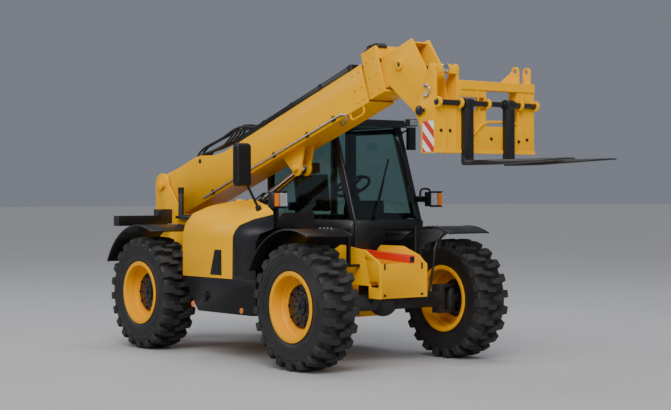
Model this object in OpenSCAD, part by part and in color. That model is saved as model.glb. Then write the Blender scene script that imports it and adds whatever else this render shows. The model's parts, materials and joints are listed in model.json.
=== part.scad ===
// Telehandler with a side cab, a side engine, a three section boom and a fork carriage.
// Front is +X, the cab side is +Y, up is +Z. Sizes in millimetres.

/* [Wheels] */
// Distance between the axles
wheelbase = 2750; // [2600:10:3000]
// Distance between the left and right wheel centres
track = 1910; // [1860:5:2000]
// Tyre diameter, out to the tips of the lugs
tyre_d = 1210; // [1150:5:1260]
// Tyre width
tyre_w = 390; // [350:5:410]
// Rim flange diameter
rim_d = 674; // [640:2:690]

/* [Frame] */
// Width over the two frame plates
frame_w = 836; // [800:2:850]
// Thickness of the frame plates
plate_t = 25; // [18:1:30]
// Front of the frame ahead of the front axle
frame_out = 315; // [290:5:360]
// Back of the frame behind the rear axle
tail_out = 830; // [800:5:900]

/* [Boom] */
// Boom angle above level
boom_angle = 18.4; // [14:0.2:24]
// Height of the boom pivot above the wheel centres
pivot_up = 1166; // [1120:2:1220]
// Boom pivot behind the rear axle
pivot_back = 695; // [660:5:720]
// Outer section width
boom_w = 320; // [300:2:326]
// Outer section height
boom_h = 385; // [370:1:420]
// Outer section length ahead of the pivot
boom_len = 3750; // [3600:10:3900]
// Wall of the boom sections
boom_t = 10; // [8:0.5:12]

/* [Carriage] */
// Carriage width
carriage_w = 1270; // [1200:5:1400]
// Fork blade length
fork_len = 1250; // [900:10:1400]
// Fork width
fork_w = 112; // [100:2:140]
// Distance between the fork centres
fork_gap = 530; // [400:10:640]

/* [Cab] */
// Cab width
cab_w = 930; // [900:5:1000]
// Height of the cab above its floor
cab_h = 1440; // [1380:5:1520]
// Glass thickness
glass_t = 6; // [5:0.5:8]

/* [Engine side] */
// Outer face of the engine side from the middle of the machine
pod_side = 1050; // [1000:5:1080]
// Height of the bonnet
bonnet_h = 785; // [740:5:820]
// Bonnet wall
bonnet_t = 6; // [5:0.5:8]

/* [Hidden] */
$fn = 48;
fit = 0.3;
over = 3;
seam = 6;
front_x = wheelbase / 2;
rear_x = -wheelbase / 2;
tyre_r = tyre_d / 2;
hub_z = tyre_r;
side_y = track / 2;
frame_y = frame_w / 2;
inner_y = frame_y - plate_t;
front_end = front_x + frame_out;
back_end = rear_x - tail_out;
low_drop = 175;
frame_low = hub_z - low_drop;
notch_z = hub_z + low_drop;
deck_up = 395;
deck_z = hub_z + deck_up;
pivot_x = rear_x - pivot_back;
pivot_z = hub_z + pivot_up;
boom_gap = 8;
boom_y = -(inner_y - boom_gap - boom_w / 2);
tower_y = boom_y + boom_w / 2 + boom_gap;
pin_r = 40;
// Boom sections in the boom's own frame, with the pivot at zero
top_drop = 55;
outer_top = -top_drop;
outer_low = -top_drop - boom_h;
hump_rise = 138;
hump_top = outer_top + hump_rise;
collar_rise = 95;
collar_top = outer_top + collar_rise;
mid_gap = 8;
mid_w = boom_w - 2 * boom_t - 2 * mid_gap;
mid_low = outer_low + boom_t + 2 * mid_gap;
mid_top = outer_top - boom_t - 2 * mid_gap;
mid_back = 430;
collar_gap = 30;
collar_len = 220;
mid_end = boom_len + collar_gap + collar_len;
inner_gap = 18;
inner_w = mid_w - 2 * boom_t - 2 * inner_gap;
inner_low = mid_low + boom_t + inner_gap;
inner_h = 260;
nose_rise = 40;
inner_top = inner_low + inner_h;
inner_back = 480;
nose_gap = 6;
nose_start = mid_end + nose_gap;
nose_t = 20;
nose_w = inner_w;
tilt_along = 660;
tilt_down = 393;
tilt_x = boom_len + tilt_along;
tilt_z = inner_low - tilt_down;
tilt_pin_r = 35;
// Tilt pivot in the machine's frame
tilt_wx = pivot_x + tilt_x * cos(boom_angle) - tilt_z * sin(boom_angle);
tilt_wz = pivot_z + tilt_x * sin(boom_angle) + tilt_z * cos(boom_angle);
hitch_gap = 6;
hitch_t = 27;
hitch_in = nose_w / 2 + hitch_gap;
carriage_y0 = boom_y - hitch_in - hitch_t;
carriage_y1 = carriage_y0 + carriage_w;
face_out = 195;
face_x = tilt_wx + face_out;
rear_reach_add = 190;
rear_reach = back_end - rear_reach_add;
fork_t = 50;
fork_x = face_x + fit;
front_reach = fork_x + fork_t + fork_len;
origin_x = (front_reach + rear_reach) / 2;
// Lift ram pins
ram_base_back = 475;
ram_base_up = 285;
ram_x = rear_x - ram_base_back;
ram_z = hub_z + ram_base_up;
lug_along = 2350;
lug_drop = 175;
lug_wx = pivot_x + lug_along * cos(boom_angle) - (outer_low - lug_drop) * sin(boom_angle);
lug_wz = pivot_z + lug_along * sin(boom_angle) + (outer_low - lug_drop) * cos(boom_angle);
ram_len = sqrt((lug_wx - ram_x) * (lug_wx - ram_x) + (lug_wz - ram_z) * (lug_wz - ram_z));
ram_angle = atan2(lug_wz - ram_z, lug_wx - ram_x);
ram_pin_r = 35;
// Tilt ram pins in the boom's frame, and its top pin in the machine's frame
tilt_back_in = 100;
tilt_back_drop = 118;
tilt_back_x = mid_end - tilt_back_in;
tilt_back_z = inner_top - tilt_back_drop;
top_pin_out = 150;
top_pin_up = 380;
top_wx = tilt_wx + top_pin_out;
top_wz = tilt_wz + top_pin_up;
top_lx = (top_wx - pivot_x) * cos(boom_angle) + (top_wz - pivot_z) * sin(boom_angle);
top_lz = -(top_wx - pivot_x) * sin(boom_angle) + (top_wz - pivot_z) * cos(boom_angle);
tram_len = sqrt((top_lx - tilt_back_x) * (top_lx - tilt_back_x)
        + (top_lz - tilt_back_z) * (top_lz - tilt_back_z));
tram_angle = atan2(top_lz - tilt_back_z, top_lx - tilt_back_x);
tram_pin_r = 25;
// Front panel and bulkhead between the frame plates
panel_in = 25;
panel_x = front_end - panel_in;
panel_t = 20;
panel_up = 388;
panel_top = hub_z + panel_up;
bulk_in = 425;
bulk_x = front_x - bulk_in;
bulk_up = 429;
bulk_top = hub_z + bulk_up;
nose_y = 303;
nose_in = nose_y - plate_t;
// Wheel parts, measured outward from the wheel's middle plane
rim_half = 178;
flange_t = 10;
seat_drop = 32;
seat_r = rim_d / 2 - seat_drop;
hub_r = 150;
disc_in = 20;
disc_t = 15;
king_in = 60;
king_y = side_y - king_in;
king_r = 30;
spindle_r = 70;
yoke_half = 110;
yoke_t = 35;
axle_r = 80;
// Cab
cab_y0 = 20;
cab_y1 = cab_y0 + cab_w;
cab_back = -600;
cab_floor = deck_z;
cab_top = cab_floor + cab_h;
cab_in = 480;
cab_front = front_x - cab_in;
post = 60;
sill_up = 400;
sill_z = cab_floor + sill_up;
// Wheel arch kept clear of a steered tyre
arch_gap = 50;
arch_in = front_x - tyre_r - arch_gap;
guard_gap = 115;
guard_r = tyre_r + guard_gap;
guard_t = 12;
guard_in = 620;
guard_out = side_y + tyre_w / 2;
// Engine side
pod_back = -620;
pod_in = 520;
pod_up = 215;
pod_low = hub_z + pod_up;
pod_top = pod_low + bonnet_h;
pod_gap = 20;
pod_front = arch_in - pod_gap;
nose_back = 425;
pod_nose = front_x - nose_back;
// Bonnet hinge line
lid_in = 20;
lid_drop = 8;
lid_r = 14;
lid_l = 110;
lid_pin = 7;
lid_y = -pod_in + lid_in;
lid_z = pod_top - lid_drop;
lid_spots = [-430, -200];

yellow = [0.98, 0.76, 0.05];
rim_yellow = [0.95, 0.62, 0.05];
dark = [0.07, 0.07, 0.08];
grey = [0.25, 0.25, 0.27];
steel = [0.7, 0.7, 0.72];
glass = [0.2, 0.35, 0.38, 0.5];
red = [0.8, 0.1, 0.08];

// Shared helpers
function spread(shares, x0, x1, z0, z1) =
    [for (s = shares) [x0 + s[0] * (x1 - x0), z0 + s[1] * (z1 - z0)]];

module placed() translate([-origin_x, 0, 0]) children();
module side_plate(y0, y1) translate([0, y1, 0]) rotate([90, 0,
        0]) linear_extrude(height = y1 - y0) children();
module cross_plate(x0, x1) translate([x0, 0, 0]) rotate([90, 0,
        90]) linear_extrude(height = x1 - x0) children();
module box(x0, x1, y0, y1, z0, z1) translate([x0, y0, z0]) cube([x1 - x0, y1 - y0, z1 - z0]);
module bar_x(x0, x1, y, z, r) translate([x0, y, z]) rotate([0, 90, 0]) cylinder(h = x1 - x0, r = r);
module bar_y(y0, y1, x, z, r) translate([x, y1, z]) rotate([90, 0, 0]) cylinder(h = y1 - y0, r = r);
module bar_z(z0, z1, x, y, r) translate([x, y, z0]) cylinder(h = z1 - z0, r = r);
module in_boom() translate([pivot_x, boom_y, pivot_z]) rotate([0, -boom_angle, 0]) children();
module tube_between(a, b, r) {
    d = b - a;
    flat = sqrt(d[0] * d[0] + d[1] * d[1]);
    translate(a)
        rotate([0, atan2(flat, d[2]), atan2(d[1], d[0])])
            cylinder(h = norm(d), r = r);
}
module wheel_spot(x, side) translate([x, side * side_y, hub_z]) mirror([0, side < 0 ? 1 : 0, 0]) children();
module turned() rotate([-90, 0, 0]) rotate_extrude() children();

// Frame with the boom tower
notch = 150;
tail_drop = 45;
tail_low = hub_z - tail_drop;
nose_up = 55;
nose_low = hub_z + nose_up;
nose_right_shares = [[1, 0.87], [0.96, 0.95], [0.69, 1.23], [0.19, 1.35], [0, 1.18]];
nose_left_shares = [[1, 0.84], [0.85, 1.08], [0.53, 1.30], [0.08, 1.30], [0, 1.18]];
module frame_outline() {
    polygon([[back_end, tail_low], [rear_x - notch, tail_low], [rear_x - notch, notch_z],
             [rear_x + notch, notch_z], [rear_x + notch, frame_low],
             [bulk_x + panel_t, frame_low], [bulk_x + panel_t, deck_z], [back_end, deck_z]]);
}
module nose_outline(top_shares) {
    top = [for (s = top_shares) [bulk_x + s[0] * (front_end - bulk_x),
            nose_low + s[1] * (bulk_top - nose_low)]];
    polygon(concat([[bulk_x, notch_z], [front_x + notch, notch_z], [front_x + notch, nose_low],
                    [front_end, nose_low]], top));
}
module tower_outline() {
    round_r = pivot_x - back_end;
    union() {
        translate([pivot_x, pivot_z]) circle(r = round_r);
        polygon([[back_end, tail_low], [rear_x - notch, tail_low], [rear_x - notch, notch_z],
                 [rear_x + notch, notch_z], [rear_x + notch, deck_z],
                 [pivot_x + round_r, pivot_z], [back_end, pivot_z]]);
    }
}
module chassis_frame() placed() color(yellow) {
    bracket_t = 35;
    belly_t = 15;
    rear_t = 25;
    rear_up = 495;
    eye_r = 22;
    eye_x = front_x + 105;
    eye_z = hub_z + 430;
    slot_r = 30;
    slot_x = front_x + 225;
    slot_z = hub_z + 190;
    slot_l = 90;
    pin_out = 22;
    difference() {
        union() {
            side_plate(-frame_y, -inner_y) union() { frame_outline(); tower_outline(); }
            side_plate(inner_y, frame_y) frame_outline();
            side_plate(-nose_y, -nose_in) nose_outline(nose_right_shares);
            side_plate(nose_in, nose_y) nose_outline(nose_left_shares);
            side_plate(tower_y, tower_y + plate_t) tower_outline();
            box(rear_x - notch, rear_x + notch, -frame_y, frame_y, notch_z, notch_z + bracket_t);
            box(front_x - notch, front_x + notch, -nose_y, nose_y, notch_z, notch_z + bracket_t);
            box(rear_x + notch, bulk_x + panel_t, -frame_y, frame_y, frame_low, frame_low + belly_t);
            box(panel_x, panel_x + panel_t, -nose_y, nose_y, nose_low, panel_top);
            box(bulk_x, bulk_x + panel_t, -frame_y, frame_y, frame_low, bulk_top);
            box(back_end, back_end + rear_t, -frame_y, frame_y, tail_low, hub_z + rear_up);
        }
        bar_y(-nose_y - over, -nose_in + over, eye_x, eye_z, eye_r);
        for (x = [slot_x - slot_l / 2, slot_x + slot_l / 2])
            bar_y(-nose_y - over, nose_y + over, x, slot_z, slot_r);
        box(slot_x - slot_l / 2, slot_x + slot_l / 2, -nose_y - over, nose_y + over, slot_z - slot_r,
                slot_z + slot_r);
    }
    bar_y(-frame_y - pin_out, tower_y + plate_t + pin_out, pivot_x, pivot_z, pin_r - fit);
    bar_y(-frame_y - pin_out, tower_y + plate_t + pin_out, ram_x, ram_z, ram_pin_r - fit);
}
module counterweight() placed() color(dark) {
    deep = 95;
    half = 560;
    drop = 85;
    rise = 430;
    low = hub_z - drop;
    high = hub_z + rise;
    cut = 90;
    cross_plate(back_end - deep, back_end)
        polygon([[-half, low + cut], [-half + cut, low], [half - cut, low], [half, low + cut],
                 [half, high - cut], [half - cut, high], [-half + cut, high], [-half, high - cut]]);
}
module tow_hitch() placed() color(grey) {
    back = back_end - 95 - fit;
    half = 55;
    jaw_t = 22;
    z0 = hub_z - 20;
    gap = 70;
    hole_r = 16;
    x_hole = rear_reach + half;
    difference() {
        union() {
            for (z = [z0, z0 + gap + jaw_t])
                translate([0, 0, z]) linear_extrude(height = jaw_t) union() {
                    translate([x_hole, -half]) square([back - x_hole, 2 * half]);
                    intersection() {
                        translate([x_hole, 0]) circle(r = half);
                        translate([rear_reach, -half]) square([back - rear_reach, 2 * half]);
                    }
                }
            box(back - jaw_t, back, -2 * half, 2 * half, z0 - half, z0 + gap + 2 * jaw_t + half);
        }
        bar_z(z0 - over, z0 + gap + 2 * jaw_t + over, x_hole, 0, hole_r);
    }
}

// Axles and steering knuckles
module axle(x, turn) placed() color(grey) translate([x, 0, hub_z]) {
    yoke_in = king_y - 195;
    yoke_w = 60;
    heel = 60;
    ball_r = 143;
    nose_r = 90;
    nose_l = 300;
    pad_x = 110;
    pad_y = 220;
    difference() {
        union() {
            bar_y(-yoke_in - heel / 2, yoke_in + heel / 2, 0, 0, axle_r);
            sphere(r = ball_r);
            bar_x(turn > 0 ? -nose_l : 0, turn > 0 ? 0 : nose_l, 0, 0, nose_r);
            box(-pad_x, pad_x, -pad_y, pad_y, 0, low_drop);
            for (s = [-1, 1]) {
                box(-yoke_w, yoke_w, s > 0 ? yoke_in : -yoke_in - heel, s > 0 ? yoke_in + heel : -yoke_in,
                    -yoke_half - yoke_t, yoke_half + yoke_t);
                for (z = [-yoke_half - yoke_t, yoke_half]) {
                    box(-yoke_w, yoke_w, s > 0 ? yoke_in : -king_y, s > 0 ? king_y : -yoke_in, z,
                            z + yoke_t);
                    bar_z(z, z + yoke_t, 0, s * king_y, yoke_w);
                }
            }
        }
        for (s = [-1, 1])
            bar_z(-yoke_half - yoke_t - over, yoke_half + yoke_t + over, 0, s * king_y, king_r + fit);
    }
}
module front_axle() axle(front_x, 1);
module rear_axle() axle(rear_x, -1);
module knuckle(x, side) placed() color(grey) wheel_spot(x, side) {
    body_r = 58;
    slack = 2;
    end_y = 45;
    bar_z(-yoke_half + slack, yoke_half - slack, 0, -king_in, body_r);
    bar_z(-yoke_half - yoke_t, yoke_half + yoke_t, 0, -king_in, king_r);
    bar_y(-king_in, end_y, 0, 0, spindle_r);
}
module knuckle_fl() knuckle(front_x, 1);
module knuckle_fr() knuckle(front_x, -1);
module knuckle_rl() knuckle(rear_x, 1);
module knuckle_rr() knuckle(rear_x, -1);

// Wheels
module tyre(x, side) placed() color(dark) wheel_spot(x, side) rotate([-90, 0, 0]) {
    r0 = seat_r + fit;
    h = tyre_r - r0;
    w = tyre_w / 2;
    bead = rim_half - flange_t - fit;
    lugs = 22;
    lug_l_share = 1.02;
    lug_w_share = 0.43;
    lug_foot_share = 0.79;
    pitch = 2 * PI * tyre_r / lugs;
    lug_w = lug_w_share * pitch;
    lug_l = lug_l_share * w;
    lug_foot = r0 + lug_foot_share * h;
    wall_shares = [[0.24, 0.93], [0.55, 0.985], [0.76, 0.93], [0.84, 0.75]];
    core_shares = [[0.72, 0.70], [0.45, 0.86], [0.2, 0.72]];
    nw = len(wall_shares) - 1;
    nc = len(core_shares) - 1;
    foot_share = 0.7;
    foot = bead * foot_share;
    lip = rim_d / 2 + flange_t / 2;
    rotate_extrude()
        polygon(concat([[r0, foot], [r0, bead], [lip, bead]],
                       [for (s = wall_shares) [r0 + s[0] * h, s[1] * w]],
                       [for (i = [nw : -1 : 0]) [r0 + wall_shares[i][0] * h, -wall_shares[i][1] * w]],
                       [[lip, -bead], [r0, -bead], [r0, -foot]],
                       [for (i = [nc : -1 : 0]) [r0 + core_shares[i][0] * h, -core_shares[i][1] * w]],
                       [for (s = core_shares) [r0 + s[0] * h, s[1] * w]]));
    for (s = [-1, 1], i = [0 : lugs - 1])
        rotate([0, 0, (i + (s > 0 ? 0 : 0.5)) * 360 / lugs])
            translate([lug_foot, -lug_w / 2, s > 0 ? w - lug_l : -w])
                cube([tyre_r - lug_foot, lug_w, lug_l]);
}
module tyre_fl() tyre(front_x, 1);
module tyre_fr() tyre(front_x, -1);
module tyre_rl() tyre(rear_x, 1);
module tyre_rr() tyre(rear_x, -1);
module rim(x, side) placed() color(rim_yellow) wheel_spot(x, side) turned() {
    r = rim_d / 2;
    wall = 11;
    well = 20;
    well_half = 42;
    ramp = 20;
    wide = rim_half - flange_t;
    polygon([[hub_r + fit, disc_in], [seat_r - well - wall, disc_in],
             [seat_r - well - wall, -well_half], [seat_r - wall, -well_half - ramp],
             [seat_r - wall, -rim_half], [r, -rim_half], [r, -wide], [seat_r, -wide],
             [seat_r, -well_half - ramp], [seat_r - well, -well_half], [seat_r - well, well_half],
             [seat_r, well_half + ramp], [seat_r, wide], [r, wide], [r, rim_half],
             [seat_r - wall, rim_half], [seat_r - wall, well_half + ramp],
             [seat_r - well - wall, well_half], [seat_r - well - wall, disc_in + disc_t],
             [hub_r + fit, disc_in + disc_t]]);
}
module rim_fl() rim(front_x, 1);
module rim_fr() rim(front_x, -1);
module rim_rl() rim(rear_x, 1);
module rim_rr() rim(rear_x, -1);
module hub(x, side) placed() color(dark) wheel_spot(x, side) {
    flange_r = 190;
    back = 8;
    face = 62;
    cap_r = 95;
    cap = 78;
    bore_end = 46;
    turned() polygon([[spindle_r + fit, back], [flange_r, back], [flange_r, disc_in], [hub_r, disc_in],
                      [hub_r, face], [cap_r, face], [cap_r, cap], [0, cap], [0, bore_end],
                      [spindle_r + fit, bore_end]]);
}
module hub_fl() hub(front_x, 1);
module hub_fr() hub(front_x, -1);
module hub_rl() hub(rear_x, 1);
module hub_rr() hub(rear_x, -1);

// Engine side, on the right
pod_top_shares = [[1, 0.865], [0.93, 0.89], [0.78, 0.93], [0.58, 0.98], [0.36, 1], [0.17, 0.99],
                  [0.04, 0.90], [0, 0.82]];
swoosh_shares = [[0.58, 0], [0.586, 0.52], [0.602, 0.62], [0.64, 0.69], [0.75, 0.765], [0.99, 0.85]];
pod_nose_shares = [[0, 0], [0, 0.45], [0.24, 0.58], [1, 0.65], [1, 0.835]];
wedge_back = -60;
wedge_tip = 960;
cowl_share = 0.74;
vent_back_share = 0.625;
vent_front_share = 0.70;
pod_front_shares = [[-1, 0], [-1, 0.55], [-0.97, 0.68], [-0.88, 0.82], [-0.72, 0.93], [-0.5, 1]];
module pod_section(inset) {
    pts = [for (s = pod_front_shares) [s[0] * (pod_side - inset), pod_low + s[1] * (bonnet_h - inset)]];
    polygon(concat(pts, [[-pod_in, pod_top - inset], [-pod_in, pod_low]]));
}
module pod_shell(inset, x0, x1) cross_plate(x0, x1) pod_section(inset);
module pod_side_view(shares) polygon(spread(shares, pod_back, pod_nose, pod_low, pod_top));
bonnet_shares = concat([[0, 0]], swoosh_shares, pod_top_shares);
// Inner front corner, where the black cowl meets the bonnet on a slant
module pod_wedge(gap) translate([0, 0, pod_low - over]) linear_extrude(height = bonnet_h + 2 * over)
    polygon([[wedge_back + gap, -pod_in + over], [pod_nose + over, -wedge_tip + gap],
             [pod_nose + over, -pod_in + over]]);
module bonnet() placed() color(yellow) {
    leaf = 12;
    difference() {
        union() {
            intersection() {
                pod_shell(0, pod_back, pod_nose);
                side_plate(-pod_side - over, -pod_in) pod_side_view(bonnet_shares);
            }
            for (x = lid_spots) {
                bar_x(x, x + lid_l, lid_y, lid_z, lid_r);
                box(x, x + lid_l, -pod_in - leaf, lid_y, lid_z - leaf, lid_z);
            }
        }
        for (x = lid_spots)
            bar_x(x - over, x + lid_l + over, lid_y, lid_z, lid_pin + fit);
        intersection() {
            translate([0, 0, -over]) pod_shell(bonnet_t, pod_back + bonnet_t, pod_nose + over);
            side_plate(-pod_side, -pod_in + over)
                translate([0, -bonnet_t]) pod_side_view(bonnet_shares);
        }
        pod_shell(bonnet_t, pod_back + bonnet_t, pod_back + bonnet_t + over);
        pod_wedge(0);
    }
}
module front_pod() placed() color(dark) {
    gap_share = seam / (pod_nose - pod_back);
    n = len(swoosh_shares) - 1;
    tip_share = (pod_front - pod_back) / (pod_nose - pod_back);
    back_line = [for (i = [n : -1 : 0]) [swoosh_shares[i][0] + gap_share, swoosh_shares[i][1] - gap_share]];
    nose_line = [for (s = pod_nose_shares) [tip_share + s[0] * (1 - tip_share), s[1]]];
    outline = concat([[swoosh_shares[0][0] + gap_share, 0]], nose_line,
                     [for (i = [n : -1 : 1]) back_line[n - i]]);
    inner_wall = 20;
    cowl_t = 40;
    cowl_top = pod_low + cowl_share * bonnet_h;
    vents = 6;
    vent_h = 9;
    vent_deep = 4;
    vent_share = 0.06;
    difference() {
        union() {
            intersection() {
                pod_shell(0, pod_back, pod_nose);
                side_plate(-pod_side - over, -pod_in) pod_side_view(outline);
            }
            intersection() {
                pod_wedge(seam);
                box(pod_back, pod_nose, -pod_side, -pod_in, cowl_top - cowl_t, cowl_top);
            }
        }
        intersection() {
            translate([0, 0, -over]) pod_shell(bonnet_t, pod_back, pod_front - bonnet_t);
            side_plate(-pod_side, -pod_in + over)
                translate([-bonnet_t, -bonnet_t]) pod_side_view(outline);
        }
        for (i = [1 : vents])
            box(pod_back + vent_back_share * (pod_nose - pod_back),
                    pod_back + vent_front_share * (pod_nose - pod_back),
                -pod_side - over, -pod_side + vent_deep, pod_low + i * vent_share * bonnet_h,
                pod_low + i * vent_share * bonnet_h + vent_h);
    }
    box(pod_front - inner_wall, pod_front, -pod_in, -frame_y, pod_low, pod_low + bonnet_h / 2);
}
module engine_block() placed() color(grey) {
    back = pod_back + 120;
    front_share = 0.52;
    front = pod_back + front_share * (pod_nose - pod_back);
    out = 120;
    top = 300;
    stand = 40;
    box(back, front, -pod_side + out, -frame_y, pod_low, pod_top - top);
    for (x = lid_spots) {
        bar_x(x - stand, x - seam, lid_y, lid_z, lid_r);
        box(x - stand, x - seam, lid_y - lid_r, lid_y + lid_r, pod_top - top, lid_z);
        bar_x(x - stand, x + lid_l, lid_y, lid_z, lid_pin);
    }
}
module tank_box() placed() color(dark) {
    back = -330;
    low = hub_z - 135;
    cut = 60;
    side_plate(-pod_side, -frame_y)
        polygon([[back, low], [pod_front - cut, low], [pod_front, low + cut], [pod_front, pod_low],
                 [pod_back + cut, pod_low], [pod_back + cut, pod_low - cut], [back - cut, low + cut]]);
}
module right_mirror() placed() color(dark) {
    x = 500;
    out = 10;
    up = 135;
    y = -pod_side + out;
    z0 = pod_top + up;
    tall = 430;
    wide = 210;
    deep = 70;
    arm_r = 13;
    foot_h = 44;
    foot_r = 30;
    low_y = pod_front_shares[3][0] * pod_side;
    high_y = pod_front_shares[4][0] * pod_side;
    low_z = pod_low + pod_front_shares[3][1] * bonnet_h;
    high_z = pod_low + pod_front_shares[4][1] * bonnet_h;
    foot_y = (low_y + high_y) / 2;
    foot_z = (low_z + high_z) / 2;
    tilt = atan2(high_z - low_z, high_y - low_y);
    middle = fit + foot_h / 2;
    box(x - deep, x, y - wide / 2, y + wide / 2, z0, z0 + tall);
    translate([x - deep / 2, foot_y, foot_z]) rotate([tilt, 0, 0]) translate([0, 0, fit])
        cylinder(h = foot_h, r = foot_r);
    tube_between([x - deep / 2, foot_y - middle * sin(tilt), foot_z + middle * cos(tilt)],
                 [x - deep / 2, y, z0 + tall / 4], arm_r);
}
module exhaust() placed() color(dark) {
    r = 30;
    out = 62;
    behind = 185;
    up = 590;
    tall = 330;
    reach = 120;
    y = -frame_y - out;
    x = rear_x - behind;
    z0 = pod_low + up;
    box(x - 4 * r, x + r, y, -frame_y, z0 - r / 2, z0 + r / 2);
    bar_x(x, pod_back + reach, y, z0, r);
    translate([x, y, z0]) sphere(r = r);
    bar_z(z0, z0 + tall, x, y, r);
}

// Mudguards and lamps
module guard(x, side, from, to, hold_y) translate([x, 0, hub_z]) {
    y0 = side > 0 ? guard_in : -guard_out;
    y1 = side > 0 ? guard_out : -guard_in;
    far = 2 * guard_r;
    half_way = (from + to) / 2;
    stay_w = 20;
    stay_t = 25;
    stay_low = 380;
    side_plate(y0, y1) intersection() {
        difference() {
            circle(r = guard_r + guard_t, $fn = 96);
            circle(r = guard_r, $fn = 96);
        }
        polygon([[0, 0], [far * cos(from), far * sin(from)], [far * cos(half_way), far * sin(half_way)],
                 [far * cos(to), far * sin(to)]]);
    }
    for (piece = [[hold_y, frame_y + stay_t, stay_low - stay_t, stay_low],
                  [frame_y, frame_y + stay_t, stay_low - stay_t, guard_r + guard_t],
                  [frame_y, guard_in + stay_t, guard_r - guard_t, guard_r + guard_t / 2]])
        box(-stay_w, stay_w, side > 0 ? piece[0] : -piece[1], side > 0 ? piece[1] : -piece[0], piece[2],
                piece[3]);
}
module mudguards() placed() color(dark) {
    guard_from = 66;
    guard_to = 154;
    guard(front_x, 1, guard_from, guard_to, nose_y);
    guard(front_x, -1, guard_from, guard_to, nose_y);
    guard(rear_x, 1, guard_from, guard_to, frame_y);
    guard(rear_x, -1, guard_from, guard_to, frame_y);
}
module rear_lamp_bar() placed() color(dark) {
    ahead = 270;
    up = 712;
    deep = 90;
    tall = 112;
    lamp = 26;
    lamp_l = 170;
    end_in = 40;
    block_l = 190;
    block_h = 70;
    x = back_end + ahead;
    low = hub_z + up;
    end = guard_out - end_in;
    box(x, x + deep, -end, -frame_y, low, low + tall);
    box(x, x + deep, -frame_y - block_l, -frame_y, low + tall - over, low + tall + block_h);
    box(x, x + deep, tower_y + plate_t, end, low, low + tall);
    for (y = [-end, end - lamp_l])
        box(x - lamp, x, y, y + lamp_l, low, low + tall);
}
module headlamps() placed() color(dark) {
    x = pod_nose + 50;
    y_in = 50;
    up = 1005;
    y = pod_side - y_in;
    z = hub_z + up;
    wide = 160;
    tall = 150;
    deep = 90;
    arm_t = 12;
    arm_w = 60;
    foot_in = 60;
    foot_share = 0.67;
    foot_y = -pod_side + foot_in;
    post_x = cab_front - post - post_in - rake * (z - sill_z) / (cab_top - roof_t - sill_z);
    for (s = [-1, 1])
        box(x - deep / 2, x + deep / 2, s * y - wide / 2, s * y + wide / 2, z - tall / 2, z + tall / 2);
    box(pod_nose, pod_nose + arm_t, foot_y - arm_w / 2, foot_y + arm_w / 2,
            pod_low + foot_share * bonnet_h, z);
    box(post_x + arm_t, x, cab_y1, cab_y1 + arm_t, z - arm_w / 2, z + arm_w / 2);
    box(x - arm_t, x, cab_y1, y, z - arm_w / 2, z + arm_w / 2);
}
module safety_strut() placed() color(red) {
    thick = 73;
    reach = 8;
    y = 100;
    x0 = bulk_x + panel_t;
    x1 = panel_x + panel_t;
    slope = atan2(bulk_top - panel_top, x1 - x0);
    lift = fit / cos(slope);
    translate([x0, y, bulk_top + lift]) rotate([0, slope, 0])
        box(-reach, (x1 - x0) / cos(slope) + reach, -thick / 2, thick / 2, 0, thick);
}
module step_box() placed() color(dark) {
    back = 420;
    front = 560;
    drop = 90;
    out = 1000;
    tread = 240;
    tread_h = 180;
    low = hub_z - drop;
    difference() {
        box(-back, front, frame_y, out, low, deck_z);
        box(0, 2 * tread, out - tread, out + over, low + tread_h, deck_z - plate_t);
    }
}

// Cab, on the left
tub_shares = [[0, 0], [0.86, 0], [0.867, 0.45], [0.93, 0.62], [1, 0.74], [1, 0.96], [0.98, 1], [0, 1]];
chin_shares = [[0.80, 0], [1, 0], [1, 0.96], [0.98, 1], [0.80, 1]];
chin_y = 430;
function tub_points(in) = spread(tub_shares, cab_back + in, cab_front - in, cab_floor + in,
        sill_z + (in > 0 ? over : 0));
door_in = 320;
door_short = 260;
door_up = 30;
door_back = cab_back + door_in;
door_front = cab_front - door_short;
door_low = cab_floor + door_up;
rake = 330;
roof_t = 75;
post_in = 20;
module cab_tub() placed() color(dark) {
    wall = 35;
    difference() {
        union() {
            side_plate(cab_y0, cab_y1) polygon(tub_points(0));
            side_plate(cab_y0, chin_y) polygon(spread(chin_shares, cab_back, cab_front, cab_floor, sill_z));
        }
        side_plate(cab_y0 + wall, cab_y1 - wall) polygon(tub_points(wall));
        box(door_back, door_front, cab_y1 - wall - over, cab_y1 + over, door_low, sill_z + over);
    }
}
function post_line(x, w) = [[x, sill_z], [x + w, sill_z], [x + w - rake, cab_top - roof_t], [x - rake,
        cab_top - roof_t]];
module cab_posts() placed() color(dark) {
    front = cab_front - post - post_in;
    roof_lip = 160;
    roof_front = front - rake + roof_lip;
    for (y = [cab_y0, cab_y1 - post]) {
        side_plate(y, y + post) polygon(post_line(front, post));
        box(cab_back, cab_back + post, y, y + post, sill_z, cab_top - roof_t);
    }
    box(door_back - post, door_back - seam, cab_y1 - post, cab_y1, sill_z, cab_top - roof_t);
    cut = 40;
    cross_plate(cab_back, roof_front)
        polygon([[cab_y0, cab_top - roof_t], [cab_y1, cab_top - roof_t], [cab_y1 - cut, cab_top],
                 [cab_y0 + cut, cab_top]]);
}
module cab_glass() placed() color(glass) {
    front = cab_front - post - post_in;
    top = cab_top - roof_t;
    mid = post / 2;
    side_plate(cab_y0 + post, cab_y1 - post)
        polygon([[front + mid, sill_z], [front + mid + glass_t, sill_z], [front + mid + glass_t - rake,
                top],
                 [front + mid - rake, top]]);
    side_plate(cab_y0 + mid, cab_y0 + mid + glass_t)
        polygon([[cab_back + post, sill_z], [front, sill_z], [front - rake, top], [cab_back + post, top]]);
    box(cab_back + mid, cab_back + mid + glass_t, cab_y0 + post, cab_y1 - post, sill_z, top);
    box(cab_back + post, door_back - post, cab_y1 - mid - glass_t, cab_y1 - mid, sill_z, top);
}
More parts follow.
